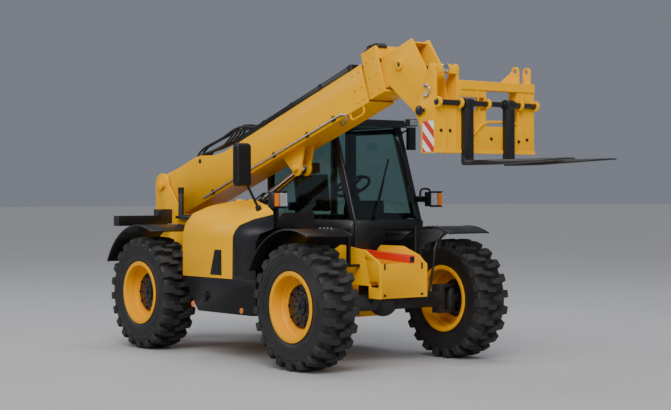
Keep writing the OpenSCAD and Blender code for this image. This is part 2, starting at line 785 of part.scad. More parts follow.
module left_mirror() placed() color(dark) {
    foot_drop = 130;
    foot_z = cab_top - foot_drop;
    foot_x = cab_front - post / 2 - post_in - rake * (foot_z - sill_z) / (cab_top - roof_t - sill_z);
    foot = 18;
    ahead = 90;
    x = foot_x + ahead;
    hang = 310;
    z = cab_top - hang;
    out = 50;
    y = cab_y1 + out;
    wide = 90;
    tall = 240;
    deep = 50;
    r = 9;
    box(x, x + deep, y - wide / 2, y + wide / 2, z, z + tall);
    box(foot_x - foot, foot_x + foot, cab_y1, cab_y1 + foot, foot_z - foot, foot_z + foot);
    tube_between([foot_x, cab_y1 + foot / 2, foot_z], [x + deep / 2, y, z + tall - r], r);
}
floor_t = 35;
module seat() placed() color(dark) {
    ahead = 180;
    half = 240;
    base_h = 300;
    base_in = 60;
    pad_t = 110;
    pad_l = 480;
    back_h = 430;
    back_t = 110;
    head_h = 150;
    head_half = 130;
    lean = 70;
    head_lean = 12;
    x = cab_back + ahead;
    y = (cab_y0 + cab_y1) / 2;
    floor = cab_floor + floor_t;
    pad_top = floor + base_h + pad_t;
    back_top = pad_top + back_h;
    box(x + base_in, x + pad_l - base_in, y - half + base_in, y + half - base_in, floor, floor + base_h);
    box(x, x + pad_l, y - half, y + half, floor + base_h, pad_top);
    side_plate(y - half, y + half)
        polygon([[x, pad_top], [x + back_t, pad_top], [x + back_t - lean, back_top], [x - lean, back_top]]);
    side_plate(y - head_half, y + head_half)
        polygon([[x - lean, back_top], [x + back_t - lean, back_top],
                 [x + back_t - lean - head_lean, back_top + head_h],
                 [x - lean - head_lean, back_top + head_h]]);
}
module dash() placed() color(dark) {
    y = (cab_y0 + cab_y1) / 2;
    half = 180;
    back = 430;
    tall = 560;
    deep = 130;
    lip = 60;
    chin = 90;
    chin_h = 100;
    column_r = 28;
    column_in = 170;
    column_up = 150;
    boss_r = 45;
    wheel_r = 190;
    grip_r = 16;
    wheel_lean = 32;
    front = cab_front - back;
    floor = cab_floor + floor_t;
    top = floor + tall;
    hub = [front - column_in, y, top + column_up];
    side_plate(y - half, y + half)
        polygon([[front, floor], [front + deep, floor], [front + deep, top], [front - lip, top],
                 [front - chin, top - chin_h]]);
    tube_between([front - lip + grip_r, y, top - lip], hub, column_r);
    translate(hub) rotate([0, -wheel_lean, 0]) {
        rotate_extrude() translate([wheel_r, 0]) circle(r = grip_r);
        cylinder(h = grip_r, r = boss_r, center = true);
        for (a = [0, 120, 240])
            rotate([0, 0, a]) translate([wheel_r / 2, 0, 0])
                cube([wheel_r, 2 * grip_r, grip_r], center = true);
    }
}

// Cab door
door_rim = 55;
door_t = 40;
door_proud = 5;
door_top = cab_top - roof_t - seam;
function door_edge(z) =
    cab_front - post - post_in - 1.1 * seam - rake * (z - sill_z) / (cab_top - roof_t - sill_z);
module door_outline() {
    step_z = sill_z + seam;
    polygon([[door_back + seam, door_low + seam], [door_front - seam, door_low + seam],
            [door_front - seam, step_z],
             [door_edge(step_z), step_z], [door_edge(door_top), door_top], [door_back + seam, door_top]]);
}
module door_window(in) {
    low = sill_z + seam + door_rim + in;
    high = door_top - door_rim - in;
    back = door_back + seam + door_rim + in;
    polygon([[back, low], [door_edge(low) - door_rim - in, low], [door_edge(high) - door_rim - in, high],
            [back, high]]);
}
module door_frame() placed() color(dark) {
    hinge_r = 10;
    hinge_out = hinge_r + fit;
    hinge_l = 80;
    hinge_in = 150;
    side_plate(cab_y1 + door_proud - door_t, cab_y1 + door_proud) difference() {
        door_outline();
        door_window(0);
    }
    for (z = [door_low + hinge_in, door_top - hinge_in - hinge_l])
        bar_z(z, z + hinge_l, door_back, cab_y1 + hinge_out, hinge_r);
}
module door_glass() placed() color(glass) {
    y = cab_y1 + door_proud - door_t / 2;
    side_plate(y - glass_t / 2, y + glass_t / 2) door_window(0);
}

// Boom
module section(w, x0, x1, z0, z1, t) difference() {
    box(x0, x1, -w / 2, w / 2, z0, z1);
    box(x0 - over, x1 + over, -w / 2 + t, w / 2 - t, z0 + t, z1 - t);
}
hump_shares = [[0.341, 0.736], [0.289, 0.795], [0.223, 0.962], [0.191, 1], [0.10, 1]];
module boom_outer() placed() color(yellow) in_boom() {
    tail_r = 110;
    hollow = 350;
    heel = 300;
    lug_t = 20;
    lug_in = 48;
    lug_r = 80;
    lug_half = 190;
    difference() {
        union() {
            side_plate(-boom_w / 2, boom_w / 2) union() {
                circle(r = tail_r);
                polygon(concat([[-tail_r * 0.9, -tail_r * 0.45], [heel, outer_low], [boom_len, outer_low],
                                [boom_len, outer_top]],
                               spread(hump_shares, 0, boom_len, outer_low, hump_top), [[0, tail_r]]));
            }
            for (y = [-lug_in - lug_t, lug_in])
                side_plate(y, y + lug_t) union() {
                    translate([lug_along, outer_low - lug_drop]) circle(r = lug_r);
                    polygon([[lug_along - lug_half, outer_low + over], [lug_along - lug_r,
                            outer_low - lug_drop],
                             [lug_along + lug_r, outer_low - lug_drop], [lug_along + lug_half,
                                     outer_low + over]]);
                }
        }
        box(hollow, boom_len + over, -boom_w / 2 + boom_t, boom_w / 2 - boom_t, outer_low + boom_t,
                outer_top - boom_t);
        bar_y(-boom_w, boom_w, 0, 0, pin_r);
    }
    for (y = [-lug_in - lug_t - 2 * lug_t, lug_in + lug_t])
        bar_y(y, y + 2 * lug_t, lug_along, outer_low - lug_drop, ram_pin_r);
}
module pads(x0, x1, w, z0, z1, gap_side, gap_low, gap_high) {
    inset = 40;
    box(x0, x1, -w / 2 + inset, w / 2 - inset, z0 - gap_low, z0 - fit);
    box(x0, x1, -w / 2 + inset, w / 2 - inset, z1 + fit, z1 + gap_high);
    for (s = [-1, 1])
        box(x0, x1, s > 0 ? w / 2 + fit : -w / 2 - gap_side, s > 0 ? w / 2 + gap_side : -w / 2 - fit,
            z0 + inset, z1 - inset);
}
module outer_pads() placed() color(steel) in_boom()
    pads(boom_len - 180, boom_len - 20, mid_w, mid_low, mid_top, mid_gap, 2 * mid_gap, 2 * mid_gap);
module hose_cover() placed() color(dark) in_boom() {
    wide = 90;
    tall = 58;
    start_share = 0.40;
    end_share = 0.965;
    box(start_share * boom_len, end_share * boom_len, -boom_w / 2, -boom_w / 2 + wide, outer_top,
            outer_top + tall);
}
module boom_mid() placed() color(yellow) in_boom() {
    ring = 14;
    difference() {
        union() {
            box(mid_back, mid_end, -mid_w / 2, mid_w / 2, mid_low, mid_top);
            box(boom_len + collar_gap, mid_end, -mid_w / 2 - ring, mid_w / 2 + ring, mid_low - ring,
                    collar_top);
        }
        box(mid_back - over, mid_end + over, -mid_w / 2 + boom_t, mid_w / 2 - boom_t, mid_low + boom_t,
                mid_top - boom_t);
    }
}
module mid_pads() placed() color(steel) in_boom()
    pads(mid_end - 160, mid_end - 20, inner_w, inner_low, inner_top, inner_gap, inner_gap,
            mid_top - boom_t - inner_top);
nose_shares = [[0, 0.66], [0, 0.985], [0.74, 1], [0.90, 0.55], [0.83, 0.08], [0.52, 0.03]];
module boom_inner() placed() color(yellow) in_boom() {
    boss_r = 85;
    nose_len = 615;
    nose_end = nose_start + nose_len;
    low = tilt_z - boss_r / 2;
    high = inner_top + nose_rise;
    plate = 15;
    mark_out = 237;
    mark_drop = 128;
    mark_proud = 4;
    mark_x = mid_end + mark_out;
    mark_z = inner_top - mark_drop;
    difference() {
        union() {
            section(inner_w, inner_back, nose_start + plate, inner_low, inner_top, boom_t);
            for (y = [-nose_w / 2, nose_w / 2 - nose_t])
                side_plate(y, y + nose_t) union() {
                    polygon(spread(nose_shares, nose_start, nose_end, low, high));
                    translate([tilt_x, tilt_z]) circle(r = boss_r);
                }
            box(nose_start + plate - over, nose_start + 0.7 * nose_len, -nose_w / 2, nose_w / 2,
                    high - 2 * plate, high - plate);
            bar_y(-nose_w / 2, nose_w / 2, tilt_x, tilt_z, boss_r);
            bar_y(-nose_w / 2 + nose_t / 2, nose_w / 2 - nose_t / 2, nose_start + 0.5 * nose_len,
                    low + 0.12 * (high - low), plate);
            bar_y(-nose_w / 2 - mark_proud, -nose_w / 2 + nose_t, mark_x, mark_z, plate * 2);
        }
        bar_y(-nose_w, nose_w, tilt_x, tilt_z, tilt_pin_r);
    }
    bar_y(-inner_w / 2 + boom_t / 2, inner_w / 2 - boom_t / 2, tilt_back_x, tilt_back_z, tram_pin_r - fit);
}

// Rams
module in_lift() translate([ram_x, boom_y, ram_z]) rotate([0, -ram_angle, 0]) children();
module in_tilt() in_boom() translate([tilt_back_x, 0, tilt_back_z]) rotate([0, -tram_angle, 0]) children();
module lift_barrel() placed() color(dark) in_lift() {
    eye_r = 62;
    eye_half = 60;
    r = 62;
    bore = 50;
    back = 100;
    len_share = 0.71;
    gland = 60;
    end = ram_len * len_share;
    rod_r = 40;
    difference() {
        union() {
            bar_y(-eye_half, eye_half, 0, 0, eye_r);
            bar_x(0, end, 0, 0, r);
        }
        bar_y(-eye_half - over, eye_half + over, 0, 0, ram_pin_r);
        bar_x(back, end - gland, 0, 0, bore);
        bar_x(end - gland - over, end + over, 0, 0, rod_r + fit);
    }
}
module lift_rod() placed() color(steel) in_lift() {
    rod_r = 40;
    piston = 49.7;
    piston_l = 60;
    rod_share = 0.70;
    eye_r = 58;
    eye_half = 42;
    start = ram_len * (1 - rod_share);
    bar_x(start, ram_len, 0, 0, rod_r);
    bar_x(start, start + piston_l, 0, 0, piston);
    bar_y(-eye_half, eye_half, ram_len, 0, eye_r);
}
module tilt_barrel() placed() color(dark) in_tilt() {
    eye_half = 45;
    r = 48;
    bore = 38;
    back = 70;
    end = 600;
    gland = 30;
    rod_r = 28;
    difference() {
        union() {
            bar_y(-eye_half, eye_half, 0, 0, r);
            bar_x(0, end, 0, 0, r);
        }
        bar_y(-eye_half - over, eye_half + over, 0, 0, tram_pin_r);
        bar_x(back, end - gland, 0, 0, bore);
        bar_x(end - gland - over, end + over, 0, 0, rod_r + fit);
    }
}
module tilt_rod() placed() color(steel) in_tilt() {
    rod_r = 28;
    piston = 37.7;
    piston_l = 30;
    eye_r = 42;
    eye_half = 38;
    start = 250;
    bar_x(start, tram_len, 0, 0, rod_r);
    bar_x(start, start + piston_l, 0, 0, piston);
    bar_y(-eye_half, eye_half, tram_len, 0, eye_r);
}

// Fork carriage
shaft_r = 25;
shaft_up = 70;
shaft_z = tilt_wz + shaft_up;
shaft_x = face_x + fork_t / 2;
carriage_drop = 390;
carriage_rise = 395;
carriage_low = tilt_wz - carriage_drop;
carriage_high = tilt_wz + carriage_rise;
module hitch_outline() {
    back = 3;
    boss = 78;
    top_r = 48;
    ear = 50;
    union() {
        translate([tilt_wx, tilt_wz]) circle(r = boss);
        translate([top_wx, top_wz]) circle(r = top_r);
        translate([shaft_x, shaft_z]) circle(r = ear);
        polygon([[tilt_wx + back, carriage_low], [face_x, carriage_low], [face_x, carriage_high - top_r],
                 [top_wx + top_r * 0.8, top_wz + top_r * 0.6], [top_wx - top_r, top_wz],
                 [tilt_wx - boss * 0.7, tilt_wz + boss * 0.7], [tilt_wx - boss * 0.7, tilt_wz - boss * 0.7],
                 [tilt_wx + back, tilt_wz - 2 * boss]]);
        polygon([[face_x - ear, shaft_z - ear], [shaft_x, shaft_z - ear], [shaft_x, shaft_z + ear],
                [face_x - ear, shaft_z + ear]]);
    }
}
module rib_outline() {
    deep = 110;
    ear = 50;
    union() {
        translate([shaft_x, shaft_z]) circle(r = ear);
        polygon([[face_x - deep / 2, carriage_low], [face_x, carriage_low], [face_x, shaft_z - ear],
                 [shaft_x, shaft_z - ear], [shaft_x, shaft_z + ear], [face_x, shaft_z + ear],
                 [face_x, beam_high], [face_x - deep, beam_high], [face_x - deep, shaft_z - 2 * ear]]);
    }
}
beam_up = 196;
beam_h = 86;
beam_low = tilt_wz + beam_up;
beam_high = beam_low + beam_h;
module carriage() placed() color(yellow) {
    beam_t = 90;
    panel_h = 255;
    gusset_t = 14;
    panel_t = 25;
    broad_up = 61;
    rib_t = 22;
    lug_in = 44;
    lug_t = 20;
    pin_out = 15;
    y_left = boom_y + hitch_in;
    y_broad = y_left + hitch_t;
    rib_shares = [0.485, 0.82];
    post_share = 0.82;
    lug_shares = [0.83, 0.95];
    foot_share = 0.705;
    window = 60;
    top_lug_r = 45;
    lug_z = carriage_high;
    difference() {
        union() {
            side_plate(carriage_y0, carriage_y0 + hitch_t) hitch_outline();
            side_plate(y_left, y_broad) hitch_outline();
            side_plate(carriage_y1 - rib_t, carriage_y1) rib_outline();
            for (s = rib_shares)
                side_plate(carriage_y0 + s * carriage_w,
                        carriage_y0 + s * carriage_w + rib_t) rib_outline();
            box(face_x - beam_t, face_x, y_left, carriage_y1, beam_low, beam_high);
            box(face_x - panel_t, face_x, carriage_y0, carriage_y1, carriage_low, carriage_low + panel_h);
            box(face_x - panel_t, face_x, carriage_y0, y_broad, carriage_low, tilt_wz + broad_up);
            box(face_x - panel_t, face_x, y_left, carriage_y0 + rib_shares[0] * carriage_w + rib_t,
                    carriage_low, beam_high);
            box(face_x - panel_t, face_x, carriage_y0 + post_share * carriage_w, carriage_y1,
                    carriage_low, beam_high);
            for (y = [boom_y - lug_in - lug_t, boom_y + lug_in])
                side_plate(y, y + lug_t) union() {
                    translate([top_wx, top_wz]) circle(r = top_lug_r);
                    polygon([[top_wx, top_wz - top_lug_r], [face_x, top_wz - top_lug_r],
                             [face_x, top_wz + top_lug_r * 0.6], [top_wx, top_wz + top_lug_r]]);
                }
            for (y = [boom_y - hitch_in - over, boom_y + lug_in])
                box(face_x - panel_t, face_x, y, y + hitch_in - lug_in + over,
                    top_wz - top_lug_r, top_wz + top_lug_r * 0.6);
            for (s = lug_shares)
                side_plate(carriage_y0 + s * carriage_w,
                        carriage_y0 + s * carriage_w + rib_t) difference() {
                    union() {
                        translate([face_x - beam_t / 2, lug_z]) circle(r = top_lug_r);
                        translate([face_x - beam_t, beam_high - over]) square([beam_t,
                                lug_z - beam_high + over]);
                    }
                    translate([face_x - beam_t / 2, lug_z]) circle(r = tram_pin_r);
                }
            cross_plate(face_x - beam_t, face_x - beam_t + gusset_t)
                polygon([[carriage_y0 + foot_share * carriage_w, beam_high - over],
                         [carriage_y0 + lug_shares[0] * carriage_w + over, beam_high - over],
                         [carriage_y0 + lug_shares[0] * carriage_w + over, lug_z]]);
        }
        bar_y(carriage_y0 - over, carriage_y1 + over, shaft_x, shaft_z, shaft_r + fit);
        box(face_x - panel_t - over, face_x + over, y_broad, carriage_y0 + rib_shares[0] * carriage_w,
            shaft_z - window, shaft_z + window);
    }
    bar_y(carriage_y0 - pin_out, y_broad + pin_out, tilt_wx, tilt_wz, tilt_pin_r - fit);
    for (y = [boom_y - hitch_in - over, boom_y + lug_in + lug_t - over])
        bar_y(y, y + hitch_in - lug_in - lug_t + 2 * over, top_wx, top_wz, tram_pin_r);
}
module fork_shaft() placed() color(dark) {
    shaft_out = 12;
    bar_y(carriage_y0 - shaft_out, carriage_y1 + shaft_out, shaft_x, shaft_z, shaft_r);
}
module forks() placed() color(dark) {
    eye_r = 48;
    blade = 45;
    tip = 12;
    heel = 20;
    drop = 500;
    mid_share = 0.505;
    low = tilt_wz - drop;
    mid = carriage_y0 + mid_share * carriage_w;
    for (y = [mid - fork_gap / 2, mid + fork_gap / 2])
        difference() {
            side_plate(y - fork_w / 2, y + fork_w / 2) union() {
                translate([shaft_x, shaft_z]) circle(r = eye_r);
                polygon([[fork_x, low + heel], [fork_x + heel, low], [fork_x + fork_t + fork_len * 0.3,
                        low],
                         [front_reach, low + blade - tip], [front_reach, low + blade],
                                 [fork_x + fork_t + heel, low + blade],
                         [fork_x + fork_t, low + blade + heel], [fork_x + fork_t, shaft_z], [fork_x,
                                 shaft_z]]);
            }
            bar_y(y - fork_w, y + fork_w, shaft_x, shaft_z, shaft_r + fit);
        }
}

chassis_frame();
counterweight();
tow_hitch();
front_axle();
rear_axle();
knuckle_fl();
knuckle_fr();
knuckle_rl();
knuckle_rr();
tyre_fl();
tyre_fr();
tyre_rl();
tyre_rr();
rim_fl();
rim_fr();
rim_rl();
rim_rr();
hub_fl();
hub_fr();
hub_rl();
hub_rr();
engine_block();
tank_box();
front_pod();
bonnet();
right_mirror();
exhaust();
mudguards();
rear_lamp_bar();
headlamps();
safety_strut();
step_box();
cab_tub();
cab_posts();
cab_glass();
left_mirror();
seat();
dash();
door_frame();
door_glass();
boom_outer();
outer_pads();
hose_cover();
boom_mid();
mid_pads();
boom_inner();
lift_barrel();
lift_rod();
tilt_barrel();
tilt_rod();
carriage();
fork_shaft();
forks();
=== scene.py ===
# %% [markdown]
# # A telehandler, dressed for its portrait
# The machine's solids come from its CAD model. This lesson keeps those solids where they are,
# gives each one a finish, and adds what a steel outline lacks: rubber lugs, lenses, hoses,
# bolts and cushions. All lengths are metres, in the same frame as the solids.

# %% Load the solids
import json
import math

import bmesh
import bpy
from mathutils import Matrix, Vector


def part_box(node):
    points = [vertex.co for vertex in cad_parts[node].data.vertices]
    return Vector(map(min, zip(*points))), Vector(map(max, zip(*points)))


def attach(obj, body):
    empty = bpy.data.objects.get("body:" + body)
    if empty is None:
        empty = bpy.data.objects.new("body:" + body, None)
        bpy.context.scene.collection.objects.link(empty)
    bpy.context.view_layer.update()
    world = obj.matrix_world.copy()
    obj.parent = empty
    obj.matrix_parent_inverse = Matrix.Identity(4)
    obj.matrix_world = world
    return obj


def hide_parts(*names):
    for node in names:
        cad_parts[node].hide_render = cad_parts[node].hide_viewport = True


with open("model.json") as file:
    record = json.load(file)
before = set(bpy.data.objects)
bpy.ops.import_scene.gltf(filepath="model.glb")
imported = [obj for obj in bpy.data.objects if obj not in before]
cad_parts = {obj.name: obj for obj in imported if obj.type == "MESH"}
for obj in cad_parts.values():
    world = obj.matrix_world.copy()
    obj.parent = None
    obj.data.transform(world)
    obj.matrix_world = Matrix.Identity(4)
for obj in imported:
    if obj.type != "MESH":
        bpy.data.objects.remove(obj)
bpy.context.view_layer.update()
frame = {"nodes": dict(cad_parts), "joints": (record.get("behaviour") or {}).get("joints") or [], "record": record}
node_count = len(frame["nodes"])
print("solids loaded:", node_count)

# %% [markdown]
# ## Where things are
# The solids already know where the axles, the boom pivot and the tilt pin are, so every place
# below is worked out from their boxes and joints. Moving a wheel in the CAD model then moves
# its bolts here as well.

# %% Landmarks
JOINTS = {j["name"]: j for j in frame["joints"]}


def middle(node):
    low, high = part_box(node)
    return (low + high) / 2


MID_X = (middle("tyre_fl").x + middle("tyre_rl").x) / 2
PIVOT = Vector(JOINTS["boom_lift"]["pos_m"])
TILT_PIN = Vector(JOINTS["carriage_tilt"]["pos_m"])
BOOM_AXIS = Vector(JOINTS["boom_extend"]["axis"])
BOOM_UP = Vector((-BOOM_AXIS.z, 0, BOOM_AXIS.x))
WHEELS = {"fl": 1, "fr": -1, "rl": 1, "rr": -1}


def at(x, y, z):
    """A point counted from the middle of the wheelbase, on the ground."""
    return Vector((x + MID_X, y, z))


def on_boom(along, across, up):
    """A point counted from the boom pivot, along and square to the boom."""
    return PIVOT + along * BOOM_AXIS + Vector((0, across, 0)) + up * BOOM_UP


print("middle of the wheelbase at", round(MID_X, 4), "pivot height", round(PIVOT.z, 3))

# %% [markdown]
# ## The camera
# The photographer stood low and well back, a little ahead of the front right wheel. The numbers
# come from matching the four wheel circles, so the lens sees the machine under the same angle.

# %% Camera
AZIMUTH, ELEVATION, ROLL = 51.8878, 0.3628, -0.1158
EYE = at(12.5309, -9.3404, 1.6484)
PICTURE_W, FOCAL_PX, SENSOR = 671, 1482.05, 36.0


def camera_turn(azimuth, elevation, roll):
    a, e, r = (math.radians(v) for v in (azimuth, elevation, roll))
    back = Vector((math.sin(a) * math.cos(e), -math.cos(a) * math.cos(e), math.sin(e)))
    right = Vector((math.cos(a), math.sin(a), 0))
    up = back.cross(right)
    rolled = math.cos(r) * right + math.sin(r) * up
    top = math.cos(r) * up - math.sin(r) * right
    return Matrix((rolled, top, back)).transposed()


lens = bpy.data.cameras.new("portrait_lens")
lens.sensor_width = SENSOR
lens.lens = FOCAL_PX * SENSOR / PICTURE_W
camera = bpy.data.objects.new("portrait_camera", lens)
camera.matrix_world = Matrix.Translation(EYE) @ camera_turn(AZIMUTH, ELEVATION, ROLL).to_4x4()
bpy.context.scene.collection.objects.link(camera)
bpy.context.scene.camera = camera
print("lens", round(lens.lens, 2), "mm")

# %% [markdown]
# ## Shader maths in plain expressions
# A finish is a small graph of nodes. Wrapping each socket lets the graph be written the way one
# would write a formula: `1 - dust * 0.5` adds the Math nodes by itself.


# %% Sockets as values
class Val:
    """One output socket that can be added, multiplied and so on."""

    def __init__(self, finish, socket):
        self.finish, self.socket = finish, socket

    def math(self, operation, first, second=0.0):
        return self.finish.node("ShaderNodeMath", {"operation": operation}, {0: first, 1: second}, "Value")

    def __add__(self, other):
        return self.math("ADD", self, other)

    def __sub__(self, other):
        return self.math("SUBTRACT", self, other)

    def __rsub__(self, other):
        return self.math("SUBTRACT", other, self)

    def __mul__(self, other):
        return self.math("MULTIPLY", self, other)

    def __truediv__(self, other):
        return self.math("DIVIDE", self, other)

    def __rtruediv__(self, other):
        return self.math("DIVIDE", other, self)

    __radd__, __rmul__ = __add__, __mul__

    def above(self, level):
        return self.math("GREATER_THAN", self, level)

    def fraction(self):
        return self.math("FRACT", self)

    def clip(self):
        return self.finish.node("ShaderNodeClamp", {}, {"Value": self}, "Result")


class Finish:
    """A material with one Principled shader, and the nodes that feed it."""

    def __init__(self, name, **constants):
        self.material = bpy.data.materials.new(name)
        self.material.use_nodes = True
        self.tree = self.material.node_tree
        self.tree.nodes.clear()
        self.shader = self.tree.nodes.new("ShaderNodeBsdfPrincipled")
        end = self.tree.nodes.new("ShaderNodeOutputMaterial")
        self.tree.links.new(self.shader.outputs["BSDF"], end.inputs["Surface"])
        for socket, value in constants.items():
            self.feed(self.shader, socket.replace("_", " "), value)

    def feed(self, node, key, value):
        socket = node.inputs[key]
        if isinstance(value, Val):
            self.tree.links.new(value.socket, socket)
        else:
            socket.default_value = value

    def node(self, kind, settings, inputs, output):
        made = self.tree.nodes.new(kind)
        for key, value in settings.items():
            if key == "stops":
                first, last = made.color_ramp.elements[0], made.color_ramp.elements[1]
                (first.position, first.color), (last.position, last.color) = value
            else:
                setattr(made, key, value)
        for key, value in inputs.items():
            self.feed(made, key, value)
        return Val(self, made.outputs[output])

    def place(self):
        return self.node("ShaderNodeTexCoord", {}, {}, "Object")

    def axis(self, name):
        return self.node("ShaderNodeSeparateXYZ", {}, {"Vector": self.place()}, name)

    def noise(self, scale, detail=3.0, rough=0.5):
        return self.node("ShaderNodeTexNoise", {}, {"Vector": self.place(), "Scale": scale,
                                                    "Detail": detail, "Roughness": rough}, "Fac")

    def ramp(self, value, low, high):
        black, white = (0, 0, 0, 1), (1, 1, 1, 1)
        stops = ((low, black), (high, white))
        return self.node("ShaderNodeValToRGB", {"stops": stops}, {"Fac": value}, "Color")

    def blend(self, share, first, second):
        return self.node("ShaderNodeMix", {"data_type": "RGBA"}, {0: share, 6: first, 7: second}, 2)

    def bump(self, height, strength, distance):
        return self.node("ShaderNodeBump", {}, {"Height": height, "Strength": strength,
                                                "Distance": distance}, "Normal")

    def wear(self, colour, roughness, normal=None):
        self.feed(self.shader, "Base Color", colour)
        self.feed(self.shader, "Roughness", roughness)
        if normal is not None:
            self.feed(self.shader, "Normal", normal)
        return self


def rgb(r, g, b):
    return (r, g, b, 1.0)


def grey(level, blue=0.0):
    return rgb(level, level, level + blue)


# %% [markdown]
# ## Paint
# The yellow is a thick gloss enamel sprayed over steel. It has a faint orange peel, its shade
# drifts a little from panel to panel, and dust settles on the lower half. A noise at three scales
# does all of that without any picture.

# %% Paint finishes
DUST = rgb(0.42, 0.38, 0.30)
DUST_TOP = 1.1


def paint(name, light, deep, roughness, dusty, shine=0.35, coat=0.25):
    f = Finish(name, Coat_Roughness=0.12, Specular_IOR_Level=shine)
    drift = f.noise(1.3, 4.0)
    film = f.ramp(f.noise(9.0, 6.0, 0.65), 0.42, 0.72)
    low_part = (1 - f.axis("Z") / DUST_TOP).clip()
    dust = film * low_part * dusty
    colour = f.blend(dust, f.blend(drift, deep, light), DUST)
    peel = f.noise(260.0, 2.0)
    f.feed(f.shader, "Coat Weight", coat - dust * coat)
    return f.wear(colour, roughness + film * 0.06 + dust * 0.4, f.bump(peel, 0.04, 0.002))


YELLOW = paint("gloss_yellow", rgb(0.91, 0.440, 0.0), rgb(0.86, 0.400, 0.0), 0.28, 0.02, 0.07, 0.02)
RIM_YELLOW = paint("rim_yellow", rgb(0.88, 0.385, 0.0), rgb(0.82, 0.345, 0.0), 0.30, 0.02, 0.07, 0.03)
BLACK_PAINT = paint("satin_black", grey(0.010, 0.001), grey(0.006, 0.001), 0.42, 0.04)
CAB_BLACK = paint("cab_black", grey(0.009, 0.001), grey(0.005, 0.001), 0.36, 0.03)
FORK_BLACK = paint("fork_black", grey(0.012, 0.001), grey(0.007, 0.001), 0.40, 0.02)
RED = paint("strut_red", rgb(0.80, 0.035, 0.012), rgb(0.66, 0.022, 0.010), 0.32, 0.1)
print("paints:", 6)

# %% [markdown]
# ## Rubber, plastic and castings
# Rubber and moulded plastic are nearly the same black, and only their grain tells them apart:
# the tyre is dull and dusty in its pores, the mudguards have a fine leather grain, and the axle
# castings keep the rough skin of the sand mould under a thin coat.


# %% Matt finishes
def grained(name, light, deep, roughness, grain, depth, dusty, shine=0.4):
    f = Finish(name, Specular_IOR_Level=shine)
    cloud = f.noise(3.1, 5.0, 0.6)
    pores = f.noise(grain, 4.0, 0.6)
    dust = f.ramp(cloud, 0.40, 0.78) * dusty
    colour = f.blend(dust, f.blend(pores, deep, light), DUST)
    return f.wear(colour, roughness + pores * 0.12 + dust * 0.2, f.bump(pores, 0.35, depth))


RUBBER = grained("tyre_rubber", grey(0.022, -0.001), grey(0.010), 0.66, 55.0, 0.0010, 0.05)
SIDEWALL = grained("tyre_sidewall", grey(0.013, 0.001), grey(0.008, 0.001), 0.40, 40.0, 0.0004, 0.03)
PLASTIC = grained("black_plastic", grey(0.009, 0.001), grey(0.005, 0.001), 0.30, 420.0, 0.0004, 0.01, 0.30)
CASTING = grained("axle_casting", grey(0.022, 0.002), grey(0.012, 0.001), 0.48, 90.0, 0.0015, 0.05)
IRON = grained("engine_iron", grey(0.030, 0.002), grey(0.018, 0.002), 0.52, 80.0, 0.002, 0.06)
NYLON = grained("wear_pad_nylon", rgb(0.62, 0.58, 0.46), rgb(0.50, 0.46, 0.36), 0.50, 150.0, 0.0005, 0.10)
print("matt finishes:", 6)


# %% [markdown]
# ## Metal and glass
# Piston rods are ground and chromed, pins are turned steel, and the panes are tinted. The tint
# sits in the glass itself, so it is the base colour of a clear shader and gets deeper where two
# panes overlap.


# %% Metal and glass finishes
def metal(name, light, deep, roughness, streak):
    f = Finish(name, Metallic=1.0)
    smear = f.noise(streak, 5.0, 0.7)
    return f.wear(f.blend(smear, deep, light), roughness + smear * 0.10, f.bump(smear, 0.03, 0.001))


def pane(name, light, deep, roughness, clear):
    f = Finish(name, Transmission_Weight=clear, IOR=1.45)
    film = f.noise(2.4, 4.0)
    return f.wear(f.blend(film, deep, light), roughness + film * 0.03)


CHROME = metal("rod_chrome", grey(0.80, 0.02), grey(0.68, 0.03), 0.06, 18.0)
STEEL = metal("plain_steel", grey(0.56, 0.02), grey(0.40, 0.02), 0.30, 60.0)
SILVER = metal("mirror_silver", rgb(0.86, 0.87, 0.88), rgb(0.80, 0.81, 0.83), 0.02, 3.0)
GLASS = pane("tinted_glass", rgb(0.46, 0.64, 0.60), rgb(0.40, 0.57, 0.54), 0.0, 1.0)
CLEAR = pane("lamp_clear", rgb(0.95, 0.95, 0.95), rgb(0.86, 0.88, 0.90), 0.02, 0.85)
AMBER = pane("lamp_amber", rgb(1.0, 0.26, 0.01), rgb(0.85, 0.18, 0.01), 0.08, 0.25)
RUBY = pane("lamp_red", rgb(0.75, 0.02, 0.02), rgb(0.55, 0.01, 0.01), 0.08, 0.2)
print("metals:", 3, "panes:", 4)

# %% [markdown]
# ## Cloth and stripes
# The seat is a woven cloth, drawn as two crossed wave patterns. The warning plate on the carriage
# has slanted red and white bands, which are only a sawtooth of height plus width.

# %% Cloth and stripe finishes
WEAVE = 900.0


def threads(f, direction):
    return f.node("ShaderNodeTexWave", {"bands_direction": direction},
                  {"Vector": f.place(), "Scale": WEAVE}, "Fac")


def woven(name, light, deep):
    f = Finish(name, Sheen_Weight=0.25)
    cloth = threads(f, "Y") * 0.5 + threads(f, "Z") * 0.5
    worn = f.noise(6.0, 4.0)
    return f.wear(f.blend(worn, deep, light), 0.82 + worn * 0.1, f.bump(cloth, 0.3, 0.0006))


def banded(name, first, second, pitch):
    f = Finish(name, Specular_IOR_Level=0.5)
    slant = ((f.axis("X") + f.axis("Z")) / pitch).fraction().above(0.5)
    haze = f.noise(40.0, 3.0)
    return f.wear(f.blend(slant, first, second), 0.32 + haze * 0.12)


SEAT_CLOTH = woven("seat_cloth", grey(0.050, 0.005), grey(0.028, 0.004))
STRIPES = banded("warning_bands", rgb(0.85, 0.83, 0.80), rgb(0.62, 0.02, 0.012), 0.150)
print("cloth and bands ready")

# %% [markdown]
# ## Dressing the solids
# Each solid takes the finish of its slot in the record. Their meshes stay as they are. A weld and
# a narrow bevel are added as modifiers, because real plate has a broken edge that catches light.
# Panes and tyres need none, and a few solids take an edge of their own width.

